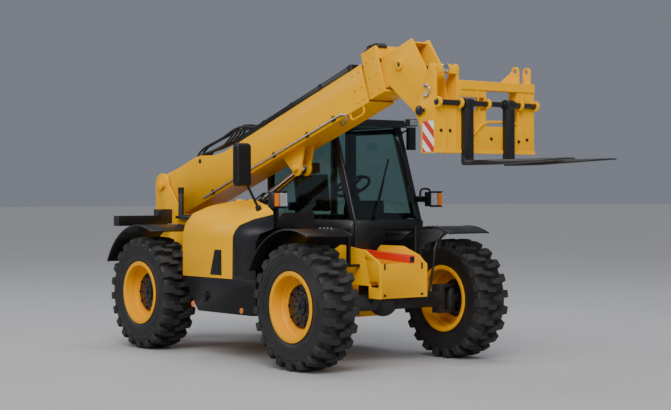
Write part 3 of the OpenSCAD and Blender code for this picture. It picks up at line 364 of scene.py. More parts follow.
# %% Finish for each slot
BY_SLOT = {
    "machine_yellow": YELLOW, "rim_yellow": RIM_YELLOW, "black_paint": BLACK_PAINT, "cab_black": CAB_BLACK,
    "axle_grey": CASTING, "engine_iron": IRON, "black_plastic": PLASTIC, "strut_red": RED,
    "tinted_glass": GLASS, "seat_cloth": SEAT_CLOTH, "wear_pad": NYLON, "rod_chrome": CHROME,
    "plain_steel": STEEL, "fork_black": FORK_BLACK, "tyre": RUBBER,
}
EDGE = 0.004
WIDER = {"left_mirror": 0.008, "boom_inner": 0.0015}
ROUND_ANGLE = math.radians(35)


def soften(obj, width):
    weld = obj.modifiers.new("weld", "WELD")
    weld.merge_threshold = 0.00002
    edge = obj.modifiers.new("edge", "BEVEL")
    edge.width, edge.segments, edge.limit_method = width, 2 if width <= EDGE else 5, "ANGLE"
    edge.angle_limit, edge.harden_normals = ROUND_ANGLE, True
    for face in obj.data.polygons:
        face.use_smooth = True
    obj.data.set_sharp_from_angle(angle=ROUND_ANGLE)


def dress(node, finish, width=EDGE):
    obj = frame["nodes"][node]
    obj.data.materials.clear()
    obj.data.materials.append(finish.material)
    if width:
        soften(obj, width)


for part in frame["record"]["subparts"]:
    pane_or_tyre = part["material_slot"] in ("tinted_glass", "tyre")
    dress(part["node"], BY_SLOT[part["material_slot"]], 0 if pane_or_tyre else WIDER.get(part["node"], EDGE))

# %% [markdown]
# ## A kit for small forms
# Bolts, lenses and hoses are collected as lists of corners and faces, and each group becomes one
# mesh. That keeps the number of pieces low and lets one loop place a whole row of bolts.


# %% Forms
class Form:
    """Corners and faces of one piece, gathered from simple solids."""

    def __init__(self):
        self.points, self.faces = [], []

    def add(self, points, faces):
        base = len(self.points)
        self.points += [Vector(p) for p in points]
        self.faces += [tuple(base + i for i in face) for face in faces]
        return self

    def rings(self, rings, closed_ends=True):
        """Joins rings of equal length by bands of faces."""
        n = len(rings[0])
        points = [p for ring in rings for p in ring]
        faces = []
        for k in range(len(rings) - 1):
            near, far = k * n, (k + 1) * n
            faces += [(near + i, near + (i + 1) % n, far + (i + 1) % n, far + i) for i in range(n)]
        if closed_ends:
            faces += [tuple(reversed(range(n))), tuple((len(rings) - 1) * n + i for i in range(n))]
        return self.add(points, faces)

    def block(self, centre, size, turn=None):
        turn = turn or Matrix.Identity(3)
        half = Vector(size) / 2
        corners = [(-1, -1), (1, -1), (1, 1), (-1, 1)]
        return self.rings([[Vector(centre) + turn @ Vector((x * half.x, y * half.y, z * half.z))
                            for x, y in corners] for z in (-1, 1)])

    def lathe(self, start, axis, profile, sides=24, capped=True):
        """Turns (distance along the axis, radius) pairs round the axis."""
        axis = Vector(axis).normalized()
        side = axis.orthogonal().normalized()
        other = axis.cross(side)
        return self.rings([round_spots(Vector(start) + along * axis, radius, sides, side, other)
                           for along, radius in profile], capped)

    def rod(self, a, b, radius, sides=16):
        a, b = Vector(a), Vector(b)
        return self.lathe(a, b - a, [(0, radius), ((b - a).length, radius)], sides)

    def bolt(self, seat, axis, size):
        """A hexagon head on a washer."""
        self.lathe(seat, axis, [(0, size), (size * 0.2, size)], 14)
        return self.lathe(Vector(seat) + Vector(axis).normalized() * size * 0.2, axis,
                          [(0, size * 0.78), (size * 0.6, size * 0.78), (size * 0.7, size * 0.6)], 6)

    def tube(self, path, radius, sides=10):
        path = [Vector(p) for p in path]
        rings, side = [], None
        for i, p in enumerate(path):
            ahead = (path[min(i + 1, len(path) - 1)] - path[max(i - 1, 0)]).normalized()
            side = ahead.orthogonal() if side is None else side - ahead * side.dot(ahead)
            side.normalize()
            other = ahead.cross(side)
            rings.append(round_spots(p, radius, sides, side, other))
        return self.rings(rings)

    def sheet(self, outline, depth):
        """A flat outline of points, thickened along depth."""
        depth = Vector(depth)
        return self.rings([[Vector(p) for p in outline], [Vector(p) + depth for p in outline]])

    def piece(self, name, finish, body, edge=0.0, sharp=ROUND_ANGLE):
        mesh = bpy.data.meshes.new(name)
        mesh.from_pydata([tuple(p) for p in self.points], [], self.faces)
        mesh.materials.append(finish.material)
        mesh.validate()
        shell = bmesh.new()
        shell.from_mesh(mesh)
        bmesh.ops.recalc_face_normals(shell, faces=shell.faces)
        shell.to_mesh(mesh)
        shell.free()
        obj = bpy.data.objects.new(name, mesh)
        bpy.context.scene.collection.objects.link(obj)
        for face in mesh.polygons:
            face.use_smooth = True
        mesh.set_sharp_from_angle(angle=sharp)
        if edge:
            bevel = obj.modifiers.new("edge", "BEVEL")
            bevel.width, bevel.segments, bevel.limit_method = edge, 2, "ANGLE"
            bevel.angle_limit = sharp
        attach(obj, body)
        print(name, "faces:", len(mesh.polygons), "on", body)
        return obj


def on_circle(centre, radius, angle, first, second):
    """A point on a circle spanned by two square directions."""
    return Vector(centre) + radius * (math.cos(angle) * Vector(first) + math.sin(angle) * Vector(second))


def arc(centre, radius, start, stop, steps, first, second):
    angles = [start + (stop - start) * i / steps for i in range(steps + 1)]
    return [on_circle(centre, radius, angle, first, second) for angle in angles]


def round_spots(centre, radius, count, first, second, turn=0.0):
    return [on_circle(centre, radius, turn + 2 * math.pi * i / count, first, second) for i in range(count)]


# %% [markdown]
# ## Tyres
# These are loader tyres: a smooth sidewall, and blocks in two staggered rows that step towards
# the middle like a broken chevron. A lathe gives the carcass, and each block is a short loft whose
# foot follows the carcass. Repeating it round the wheel gives the whole tread.

# %% Tyre carcass and blocks
TYRE_R = (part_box("tyre_fl")[1].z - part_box("tyre_fl")[0].z) / 2
BLOCKS = 22
CARCASS = [(0.150, 0.312), (0.166, 0.316), (0.166, 0.345), (0.172, 0.352), (0.1775, 0.390), (0.1845, 0.440),
           (0.1880, 0.480), (0.1860, 0.512), (0.176, 0.536), (0.150, 0.549), (0.075, 0.555)]
SHOULDER, SHOULDER_TOP = 0.191, 0.520
WALL_SLOPE = 0.03
TREAD_SINK = 0.003
LANES = [
    [(-0.012, 0.24, 0.53), (0.045, 0.20, 0.54), (0.098, 0.10, 0.50)],
    [(0.096, -0.10, 0.40), (0.150, -0.12, 0.38), (0.183, -0.12, 0.37), (0.1915, -0.10, 0.36),
     (SHOULDER, -0.06, 0.32)],
]
FOOT = [(-0.02, 0.545), (0.075, 0.545), (0.150, 0.540), (0.176, 0.528), (0.1915, 0.500), (0.1955, 0.47)]
CROWN = [(-0.02, 0.0), (0.098, 0.001), (0.150, 0.004), (0.183, 0.014), (0.1915, 0.030)]


def step_between(table, x):
    for (x0, y0), (x1, y1) in zip(table, table[1:]):
        if x <= x1:
            return y0 + (y1 - y0) * max(0.0, (x - x0) / (x1 - x0))
    return table[-1][1]


def tyre_mesh(wheel, side):
    hub = middle("tyre_" + wheel)
    out = Vector((0, side, 0))
    ahead, up = Vector((1, 0, 0)), Vector((0, 0, 1))
    carcass, tread = Form(), Form()
    shell = CARCASS + [(-v, r) for v, r in reversed(CARCASS)]
    carcass.lathe(hub, out, shell + shell[:1], 88, False)
    pitch = 2 * math.pi / BLOCKS
    for row in (1, -1):
        for i in range(BLOCKS):
            base = pitch * (i + (0.5 if row < 0 else 0.0))
            for lane in LANES:
                rings = []
                for v, lead, trail in lane:
                    top = SHOULDER_TOP if v == SHOULDER else TYRE_R - TREAD_SINK - step_between(CROWN, v)
                    foot = step_between(FOOT, v)
                    corners = ((lead - WALL_SLOPE, foot), (lead + WALL_SLOPE, top),
                               (trail - WALL_SLOPE, top), (trail + WALL_SLOPE, foot))
                    rings.append([on_circle(hub + out * (row * v), radius, base + pitch * share, up, ahead)
                                  for share, radius in corners])
                tread.rings(rings)
    side_piece = carcass.piece("tyre_carcass_" + wheel, SIDEWALL, "wheel_" + wheel)
    block_piece = tread.piece("tyre_blocks_" + wheel, RUBBER, "wheel_" + wheel, 0.005)
    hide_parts("tyre_" + wheel)


for wheel, side in WHEELS.items():
    tyre_mesh(wheel, side)

# %% [markdown]
# ## Wheel ends
# Ten nuts hold the dished rim against the hub, a bolted cover closes the planetary gears, and a
# short valve stands in the dish. They are turned shapes and hexagons, placed round the hub.


# %% Nuts, covers and valves
RIM_FACE = 0.036
WASHER_RING = [(0, 0.153), (0, 0.206), (0.009, 0.206), (0.013, 0.200), (0.013, 0.153), (0, 0.153)]
NUT_ROWS = ((0.049, 0.178, 10, 0.0, 0.019), (0.0625, 0.123, 12, 0.2, 0.011), (0.0785, 0.072, 6, 0.0, 0.010))
HUB_CAP = [(0, 0.030), (0.012, 0.030), (0.016, 0.022)]
HUB_CAP_FACE = 0.078
VALVE_UP = 0.248
BEADS = ((0.1835, 0.425), (0.1868, 0.460))


def wheel_end(wheel, side):
    hub = middle("tyre_" + wheel)
    out, up, ahead = Vector((0, side, 0)), Vector((0, 0, 1)), Vector((1, 0, 0))
    cover, valve, beads = Form(), Form(), Form()
    cover.lathe(hub + out * RIM_FACE, out, WASHER_RING, 56, False)
    for off, radius, count, turn, size in NUT_ROWS:
        for spot in round_spots(hub + out * off, radius, count, ahead, up, turn):
            cover.bolt(spot, out, size)
    cover.lathe(hub + out * HUB_CAP_FACE, out, HUB_CAP, 20)
    foot = hub + out * RIM_FACE + up * VALVE_UP
    valve.rod(foot, foot + out * 0.055 + up * 0.006, 0.0045, 10)
    valve.rod(foot, foot + out * 0.012, 0.009, 6)
    cover.piece("wheel_end_" + wheel, BLACK_PAINT, "wheel_" + wheel)
    valve.piece("wheel_valve_" + wheel, STEEL, "wheel_" + wheel)
    for off, radius in BEADS:
        loop = round_spots(hub + out * off, radius, 72, ahead, up)
        beads.tube(loop + loop[:1], 0.0022, 6)
    beads.piece("tyre_rings_" + wheel, SIDEWALL, "wheel_" + wheel)


for wheel, side in WHEELS.items():
    wheel_end(wheel, side)

# %% [markdown]
# ## Lamps and reflectors
# Behind each clear lens sits a bright bowl, so the lens reads as glass and not as a white patch.
# The amber part is the turn signal and takes the outer side of the housing. A bent rod holds the
# left headlamp from above.

# %% Headlamps, tail lamps and reflectors
LAMP_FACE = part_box("headlamps")[1].x
LAMP_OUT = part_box("headlamps")[1].y
LAMP_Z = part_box("headlamps")[1].z - 0.075
BRIGHT_IN, SIGNAL_IN = 0.112, 0.034
BOWL, LENS = (0.003, 0.080, 0.120), (0.009, 0.084, 0.126)
SIGNAL, BROW = (0.014, 0.052, 0.126), (0.030, 0.168, 0.008)
TAIL_LENS, TAIL_APART = (0.008, 0.070, 0.066), 0.042
REFLECTORS = ((-0.43, 0.532), (0.455, 0.512))
REFLECTOR = [(0, 0.029), (0.005, 0.029), (0.008, 0.022)]
REFLECTOR_Y = -1.048
bowls, clears, ambers, rubies, rims = Form(), Form(), Form(), Form(), Form()
for s in (1, -1):
    bright = Vector((LAMP_FACE, s * (LAMP_OUT - BRIGHT_IN), LAMP_Z))
    signal = Vector((LAMP_FACE, s * (LAMP_OUT - SIGNAL_IN), LAMP_Z))
    bowls.block(bright + Vector((0.0015, 0, 0)), BOWL)
    clears.block(bright + Vector((0.0085, 0, 0)), LENS)
    ambers.block(signal + Vector((0.0070, 0, 0)), SIGNAL)
    for z in (0.079, -0.079):
        rims.block(bright + Vector((-0.006, s * 0.04, z)), BROW)
bar_low, bar_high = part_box("rear_lamp_bar")
for s in (1, -1):
    tail = Vector((bar_low.x - 0.004, s * (bar_high.y - 0.085), bar_low.z + 0.056))
    rubies.block(tail + Vector((0, s * TAIL_APART, 0)), TAIL_LENS)
    ambers.block(tail - Vector((0, s * TAIL_APART, 0)), TAIL_LENS)
for x, z in REFLECTORS:
    ambers.lathe(at(x, REFLECTOR_Y, z), (0, -1, 0), REFLECTOR)
for y in (-0.42, 0.42):
    rubies.block(Vector((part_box("counterweight")[0].x - 0.003, y, 0.80)), (0.006, 0.09, 0.05))
bowls.piece("lamp_bowls", SILVER, "chassis")
clears.piece("lamp_lenses", CLEAR, "chassis", 0.003)
ambers.piece("signal_lenses", AMBER, "chassis", 0.003)
rubies.piece("tail_lenses", RUBY, "chassis", 0.003)
rims.piece("lamp_brows", PLASTIC, "chassis", 0.003)
LOOP_ROUTE = ((0.245, 0.000), (0.247, 0.060), (0.243, 0.085), (0.228, 0.102), (0.205, 0.108),
              (0.150, 0.108), (0.128, 0.102), (0.113, 0.085), (0.110, 0.060))
lamp_loop = Form()
lamp_loop.tube([Vector((LAMP_FACE - 0.060, LAMP_OUT - y, LAMP_Z + z)) for y, z in LOOP_ROUTE], 0.011, 12)
lamp_loop.piece("left_lamp_loop", PLASTIC, "chassis")

# %% [markdown]
# ## Right mirror
# The right mirror stands on the bonnet. Its head is a moulding with round corners and a raised
# back, so it is lofted from rounded outlines. The glass sits on the rear side.

# %% Mirror head, arm and glass
MIRROR_WIDE, MIRROR_TALL, MIRROR_CORNER = 0.190, 0.430, 0.040
MIRROR_STEPS = ((0.0, 0.006), (0.006, 0.0), (0.040, 0.0), (0.058, 0.008), (0.070, 0.026))
low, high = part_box("right_mirror")
head_mid = Vector((low.x, low.y + 0.105, high.z - MIRROR_TALL / 2))


def mirror_outline(off, inset):
    """A rounded upright outline, ahead of the glass side by off."""
    corner = MIRROR_CORNER - inset
    points = []
    for k, (sy, sz) in enumerate(((1, 1), (-1, 1), (-1, -1), (1, -1))):
        reach_y, reach_z = MIRROR_WIDE / 2 - MIRROR_CORNER, MIRROR_TALL / 2 - MIRROR_CORNER
        turn_mid = head_mid + Vector((off, sy * reach_y, sz * reach_z))
        points += arc(turn_mid, corner, k * math.pi / 2, (k + 1) * math.pi / 2, 6, (0, 1, 0), (0, 0, 1))
    return points


mirror = Form()
mirror.rings([mirror_outline(off, inset) for off, inset in MIRROR_STEPS])
foot = Vector(((low.x + high.x) / 2, high.y - 0.0265, low.z + 0.0137))
foot_axis = Vector((0, -0.457, 0.889))
mirror.lathe(foot, foot_axis, [(0, 0.030), (0.038, 0.030), (0.044, 0.024)])
mirror.rod(foot + foot_axis * 0.022, Vector((foot.x, head_mid.y, high.z - 0.32)), 0.013, 24)
mirror_piece = mirror.piece("right_mirror_head", PLASTIC, "bonnet", 0.003, math.radians(20))
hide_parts("right_mirror")
face = Form()
face.block(head_mid + Vector((-0.0015, 0, 0)), (0.003, 0.155, 0.390))
face.piece("right_mirror_glass", SILVER, "bonnet", 0.001)

# %% [markdown]
# ## Cab trim
# A round bar guards the right edge of the windscreen and runs down to the deck. The wiper parks
# near the middle, a work lamp hangs at the roof corner, and rails help the driver climb in.

# %% Bar, wiper, work lamp and rails
CAB_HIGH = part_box("cab_posts")[1]
TUB_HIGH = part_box("cab_tub")[1]
SILL = TUB_HIGH.z
RAKE = 0.33 / (CAB_HIGH.z - 0.075 - SILL)


def on_screen(y, z, off=0.0):
    """A point on the windscreen's outer face."""
    return Vector((TUB_HIGH.x - 0.044 - RAKE * (z - SILL) + off, y, z))


BAR_Y, BAR_R = 0.032, 0.019
bar = Form()
bar.tube([on_screen(BAR_Y, z, 0.050) for z in (2.36, 2.20, 1.90, 1.60, 1.45)]
         + [Vector((TUB_HIGH.x + 0.020, BAR_Y, z)) for z in (1.36, 1.25, 1.12, 1.03)], BAR_R, 14)
bar.piece("screen_guard_bar", CAB_BLACK, "chassis")
WIPER_ARM = ((0.34, 1.44, 0.036), (0.44, 1.62, 0.030), (0.55, 1.80, 0.022))
WIPER_BLADE = ((0.40, 1.56, 0.012), (0.55, 1.80, 0.012), (0.69, 2.03, 0.012))
wiper = Form()
wiper.rod(on_screen(0.34, 1.44, 0.0), on_screen(0.34, 1.44, 0.045), 0.020, 14)
wiper.tube([on_screen(*spot) for spot in WIPER_ARM], 0.007, 8)
wiper.tube([on_screen(*spot) for spot in WIPER_BLADE], 0.008, 8)
wiper.piece("wiper", PLASTIC, "chassis")
work = Form()
roof_edge = Vector((CAB_HIGH.x, 0.80, CAB_HIGH.z))
work.block(roof_edge + Vector((0.005, 0.005, -0.036)), (0.070, 0.120, 0.076))
work.rod(roof_edge + Vector((-0.04, 0.005, -0.05)), roof_edge + Vector((0.0, 0.005, -0.04)), 0.014)
work.piece("work_lamp", PLASTIC, "chassis", 0.008)
shine = Form()
shine.block(roof_edge + Vector((0.0425, 0.005, -0.036)), (0.005, 0.100, 0.058))
shine.piece("work_lamp_lens", CLEAR, "chassis", 0.002)
RAIL_ROUTE = ((-0.004, 1.50), (0.022, 1.53), (0.022, 1.80), (0.022, 2.10), (-0.004, 2.13))
rails = Form()
door_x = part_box("door_frame")[0].x
rails.tube([Vector((door_x - 0.06, CAB_HIGH.y + off, z)) for off, z in RAIL_ROUTE], 0.011, 10)
rails.piece("grab_rail", CAB_BLACK, "chassis")
handle = Form()
handle.block(Vector((door_x + 0.55, CAB_HIGH.y + 0.016, 1.36)), (0.130, 0.022, 0.034))
handle.piece("door_handle", PLASTIC, "door", 0.006)

# %% [markdown]
# ## The seat
# A suspension seat has foam cushions under cloth. Each cushion starts as a slightly small block,
# is blown up by a short cloth simulation, and is capped so that it stays in its place. The sewn
# channels are pressed in afterwards.

# %% Cushions
SWELL_FRAMES = 20
SWELL_MOST = 0.014
VOXEL = 0.006
SEAM_IN, SEAM_WIDE, SEAM_DEEP = 0.11, 0.009, 0.007


def mesh_now(obj):
    return bpy.data.meshes.new_from_object(obj.evaluated_get(bpy.context.evaluated_depsgraph_get()))


def swollen(obj, cap):
    """Blows the piece up like a filled cushion, moving no point further than the cap."""
    remesh = obj.modifiers.new("remesh", "REMESH")
    remesh.mode, remesh.voxel_size = "VOXEL", VOXEL
    base = mesh_now(obj)
    obj.modifiers.clear()
    obj.data = base
    cloth = obj.modifiers.new("cloth", "CLOTH").settings
    cloth.use_pressure, cloth.uniform_pressure_force = True, 4.0
    cloth.effector_weights.gravity = 0.0
    for step in range(1, SWELL_FRAMES + 1):
        bpy.context.scene.frame_set(step)
    blown = mesh_now(obj)
    obj.modifiers.clear()
    for point, moved in zip(base.vertices, blown.vertices):
        shift = moved.co - point.co
        point.co += shift * min(1.0, cap / max(shift.length, 1e-9))
    bpy.context.scene.frame_set(1)
    for polygon in base.polygons:
        polygon.use_smooth = True


def channels(obj, middle_y, offsets, depth):
    mesh = obj.data
    presses = []
    for point in mesh.vertices:
        near = sum(math.exp(-((point.co.y - middle_y - o) / SEAM_WIDE) ** 2) for o in offsets)
        presses.append(-point.normal * near * depth)
    for point, press in zip(mesh.vertices, presses):
        point.co += press


seat_low, seat_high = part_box("seat")
seat_y = (seat_low.y + seat_high.y) / 2
seat_front = seat_high.x
pad_z = seat_low.z + 0.355
lean = Matrix.Rotation(math.radians(-9.2), 3, "Y")
pad_mid = Vector((seat_front - 0.24, seat_y, pad_z))
back_mid = Vector((seat_low.x + 0.099, seat_y, seat_low.z + 0.645))
head_rest_mid = Vector((seat_low.x + 0.063, seat_y, seat_high.z - 0.075))
SEAT_PARTS = (
    ("seat_pad", pad_mid, (0.445, 0.445, 0.085), Matrix.Identity(3), True),
    ("seat_back", back_mid, (0.080, 0.445, 0.42), lean, True),
    ("seat_head", head_rest_mid, (0.075, 0.225, 0.11), lean, False),
)
for name, centre, size, turn, sewn in SEAT_PARTS:
    pad = Form().block(centre, size, turn).piece(name, SEAT_CLOTH, "chassis")
    swollen(pad, SWELL_MOST)
    if sewn:
        channels(pad, seat_y, (-SEAM_IN, SEAM_IN), SEAM_DEEP)
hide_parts("seat")
base = Form()
base.block(Vector((seat_front - 0.25, seat_y, seat_low.z + 0.15)), (0.34, 0.36, 0.29))
base.block(Vector((seat_front - 0.24, seat_y, seat_low.z + 0.300)), (0.43, 0.42, 0.024))
for y in (-0.05, 0.05):
    base.rod(Vector((seat_low.x + 0.08, seat_y + y, seat_high.z - 0.24)),
             Vector((seat_low.x + 0.065, seat_y + y, seat_high.z - 0.10)), 0.008)
base.piece("seat_frame", PLASTIC, "chassis", 0.006)
console = Form()
arm = Vector((seat_front - 0.20, seat_y - 0.315, seat_low.z + 0.50))
console.block(arm, (0.42, 0.11, 0.09))
console.block(arm + Vector((0.0, 0, -0.26)), (0.22, 0.08, 0.45))
console.rod(arm + Vector((0.13, 0, 0.03)), arm + Vector((0.15, 0, 0.17)), 0.009)
console.lathe(arm + Vector((0.15, 0, 0.15)), (0.1, 0, 1),
              [(0, 0.014), (0.03, 0.024), (0.07, 0.022), (0.085, 0.008)], 16)
console.piece("side_console", PLASTIC, "chassis", 0.008)

# %% [markdown]
# ## Hoses, pipes and pads on the boom
# The oil for the carriage runs over the boom: hoses leave the tail in loops and go under their
# cover, a steel pipe follows the lower edge of the outer section up to a bent guard, and hoses
# cross the collar of the middle one. Bolts at the section ends hold the wear pads.

# %% Boom lines
HOSE_R, PIPE_R = 0.012, 0.011
PIPE_SIDE, PIPE_LOW = -0.174, -0.405
TOP_ROUTE = ((0.74, 0.060), (0.82, 0.078), (0.98, 0.052), (1.12, 0.036), (1.28, 0.026), (1.40, 0.058),
             (1.50, 0.094), (1.60, 0.078), (1.72, 0.040), (1.84, 0.016), (1.92, 0.000))
HIGH_ROUTE = ((0.66, 0.000), (0.72, 0.060), (0.80, 0.105), (0.90, 0.125), (1.05, 0.120), (1.30, 0.105),
              (1.50, 0.115), (1.62, 0.105), (1.74, 0.065), (1.84, 0.020), (1.90, -0.010))
PIPE_ROUTE = ((0.75, PIPE_SIDE, PIPE_LOW), (2.0, PIPE_SIDE, PIPE_LOW), (3.30, PIPE_SIDE, PIPE_LOW),
              (3.36, PIPE_SIDE, -0.412), (3.40, PIPE_SIDE, -0.440), (3.40, PIPE_SIDE, -0.475),
              (3.36, -0.170, -0.500), (3.29, -0.150, -0.500), (3.24, -0.120, -0.480), (3.22, -0.100, -0.436))
GUARD_ROUTE = ((3.44, -0.425), (3.44, -0.475), (3.447, -0.497), (3.465, -0.511), (3.49, -0.515),
               (3.60, -0.515), (3.625, -0.511), (3.643, -0.497), (3.65, -0.475), (3.65, -0.425))
hoses = Form()
for k in range(4):
    hoses.tube([on_boom(a + 0.04 * k, -0.135 + 0.028 * k, u) for a, u in TOP_ROUTE], HOSE_R)
for k in range(2):
    hoses.tube([on_boom(a + 0.05 * k, -0.146 + 0.030 * k, u) for a, u in HIGH_ROUTE], HOSE_R)
hoses.piece("boom_hoses", RUBBER, "boom_outer")
pipe = Form()
pipe.tube([on_boom(*spot) for spot in PIPE_ROUTE], PIPE_R)
pipe.piece("boom_pipe", STEEL, "boom_outer")
line_guard = Form()
line_guard.tube([on_boom(a, -0.146, u) for a, u in GUARD_ROUTE], PIPE_R, 12)
line_guard.piece("boom_line_guard", YELLOW, "boom_outer")
clips = Form()
turn = Matrix.Rotation(-math.atan2(BOOM_AXIS.z, BOOM_AXIS.x), 3, "Y")
for a in (0.95, 1.55, 2.15, 2.75, 3.20):
    clips.block(on_boom(a, -0.167, PIPE_LOW), (0.045, 0.018, 0.046), turn)
    clips.bolt(on_boom(a, -0.176, -0.374), (0, -1, 0), 0.008)
for a in (1.56, 2.07, 2.58, 3.09, 3.58):
    clips.block(on_boom(a, -0.115, -0.0245), (0.05, 0.096, 0.061), turn)
clips.piece("boom_clips", PLASTIC, "boom_outer", 0.002)
PAD_BOLT = 0.013
pads = Form()
for a in (3.60, 3.70):
    for u in (-0.385, -0.26, -0.11):
        for s in (1, -1):
            pads.bolt(on_boom(a, s * 0.160, u), (0, s, 0), PAD_BOLT)
    for b in (-0.02, 0.11):
        pads.bolt(on_boom(a, b, -0.055), BOOM_UP, PAD_BOLT)
        pads.bolt(on_boom(a, b, -0.440), -BOOM_UP, PAD_BOLT)
pads.piece("outer_pad_bolts", YELLOW, "boom_outer")
stops = Form()
stops.lathe(on_boom(0.80, -0.160, 0.010), (0, -1, 0), [(0, 0.026), (0.004, 0.026), (0.006, 0.020)])
stops.piece("tail_stop_pin", BLACK_PAINT, "boom_outer")
mid_pads = Form()
for a in (3.84, 3.95):
    for u in (-0.37, -0.22, -0.06):
        for s in (1, -1):
            mid_pads.bolt(on_boom(a, s * 0.156, u), (0, s, 0), PAD_BOLT)
mid_pads.piece("mid_pad_bolts", YELLOW, "boom_mid")
COLLAR_ROUTE = ((3.80, 0.054), (3.88, 0.066), (3.95, 0.068), (4.00, 0.054), (4.02, 0.020))
over_collar = Form()
for k in range(4):
    over_collar.tube([on_boom(a, -0.115 + 0.028 * k, u) for a, u in COLLAR_ROUTE], 0.013)
over_collar.block(on_boom(3.885, -0.073, 0.060), (0.05, 0.125, 0.045), turn)
over_collar.piece("collar_hoses", RUBBER, "boom_mid")

# %% [markdown]
# ## Pins and plates
# The boom pivot and the tilt pin each show a head with a keeper plate and one bolt. The carriage
# also carries a warning plate with slanted bands on the right side, so that it is seen on the road.


# %% Pin heads, fork collars and the banded plate
def pin_head(form, centre, outward, radius):
    out = Vector(outward)
    form.lathe(centre, out, [(0, radius), (0.010, radius), (0.013, radius * 0.85)])
    keeper = Vector(centre) + Vector((radius * 0.9, 0, 0)) + out * 0.006
    form.block(keeper, (radius * 1.5, 0.010, radius * 0.7))
    form.bolt(Vector(centre) + Vector((radius * 1.35, 0, 0)) + out * 0.011, out, radius * 0.22)


car_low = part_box("carriage")[0]
heads = Form()
pin_head(heads, Vector((TILT_PIN.x, car_low.y, TILT_PIN.z)), (0, -1, 0), 0.046)
heads.piece("tilt_pin_head", BLACK_PAINT, "carriage")
boss = Form()
boss_at = on_boom(4.237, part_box("boom_inner")[0].y + 0.0035 - PIVOT.y, -0.254)
boss.lathe(boss_at, (0, -1, 0),
           [(0, 0.052), (0.014, 0.052), (0.018, 0.046), (0.018, 0.024), (0.004, 0.022)], 32)
boss.piece("nose_boss", YELLOW, "boom_inner")
boss_pin = Form()
boss_pin.lathe(boss_at + Vector((0, -0.004, 0)), (0, -1, 0), [(0, 0.021), (0.008, 0.021), (0.010, 0.015)], 24)
boss_pin.piece("nose_pin", BLACK_PAINT, "boom_inner")
frame_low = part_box("chassis_frame")[0]
tower = Form()
pin_head(tower, Vector((PIVOT.x, frame_low.y, PIVOT.z)), (0, -1, 0), 0.058)
tower.piece("pivot_pin_head", YELLOW, "chassis")
COLLAR = [(0, 0.026), (0, 0.036), (0.020, 0.036), (0.020, 0.026), (0, 0.026)]
collars = Form()
shaft = middle("fork_shaft")
fork_low, fork_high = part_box("forks")
for y in (fork_low.y - 0.014, fork_low.y + 0.126, fork_high.y - 0.126, fork_high.y + 0.014):
    collars.lathe(Vector((shaft.x, y - 0.010, shaft.z)), (0, 1, 0), COLLAR, 24, False)
collars.piece("fork_collars", FORK_BLACK, "carriage", 0.002)
bands = Form()
plate_y = car_low.y + 0.015
bands.sheet([Vector((TILT_PIN.x + x, plate_y, TILT_PIN.z + z)) for x, z in
             ((0.030, -0.100), (0.180, -0.100), (0.180, -0.378), (0.030, -0.378))], (0, -0.003, 0))
bands.piece("warning_plate", STRIPES, "carriage")

# %% [markdown]
# ## Carriage trim
# The carriage is welded from plate. A cover strip runs along the top beam, flat ribs stiffen the
# broad plate, a lip closes its lower edge between the forks, and a bent lever locks the tool.

# %% Strips, ribs, lip and lever
FACE_X = TILT_PIN.x + 0.195


def on_face(off, y, up):
    """A point ahead of the carriage's front face, counted up from the tilt pin."""
    return Vector((FACE_X + off, y, TILT_PIN.z + up))


RIB_LOW = -0.352
RIBS = ((-0.250, 0.030), (-0.130, 0.030), (0.160, 0.190), (0.730, 0.190))
LIPS = ((-0.370, -0.060), (0.070, 0.470), (0.600, 0.895))
LEVER_ROUTE = ((0.010, 0.090, -0.220), (0.010, 0.150, -0.160), (0.006, 0.215, -0.115),
               (-0.010, 0.290, -0.095), (-0.020, 0.400, -0.090), (-0.022, 0.560, -0.092),
               (-0.022, 0.680, -0.100))
trim = Form()
trim.block(on_face(0.005, 0.420, 0.239), (0.010, 0.950, 0.080))
for y, rib_top in RIBS:
    trim.block(on_face(0.006, y, (RIB_LOW + rib_top) / 2), (0.012, 0.016, rib_top - RIB_LOW))
for y0, y1 in LIPS:
    trim.block(on_face(0.009, (y0 + y1) / 2, -0.371), (0.018, y1 - y0, 0.036))
trim.tube([on_face(*spot) for spot in LEVER_ROUTE], 0.013, 12)
trim.piece("carriage_trim", YELLOW, "carriage", 0.002)
dark_pins = Form()
for y, up in ((-0.300, -0.185), (-0.190, -0.185), (0.800, -0.250), (0.690, -0.270), (0.330, -0.250)):
    dark_pins.bolt(on_face(0.0, y, up), (1, 0, 0), 0.016)
dark_pins.piece("carriage_bolts", BLACK_PAINT, "carriage")
RING_R, RING_OPEN = 0.048, math.radians(110)
ring = Form()
ring_mid = Vector((TILT_PIN.x + 0.080, plate_y - 0.010, TILT_PIN.z + 0.180))
ring.tube(arc(ring_mid, RING_R, -RING_OPEN, RING_OPEN, 24, (1, 0, 0), (0, 0, 1)), 0.011)
for angle in (-RING_OPEN, RING_OPEN):
    end = on_circle(ring_mid, RING_R, angle, (1, 0, 0), (0, 0, 1))
    ring.rod(end + Vector((0, 0.010, 0)), end + Vector((0, -0.013, 0)), 0.013, 12)
ring.piece("locking_ring", STEEL, "carriage")
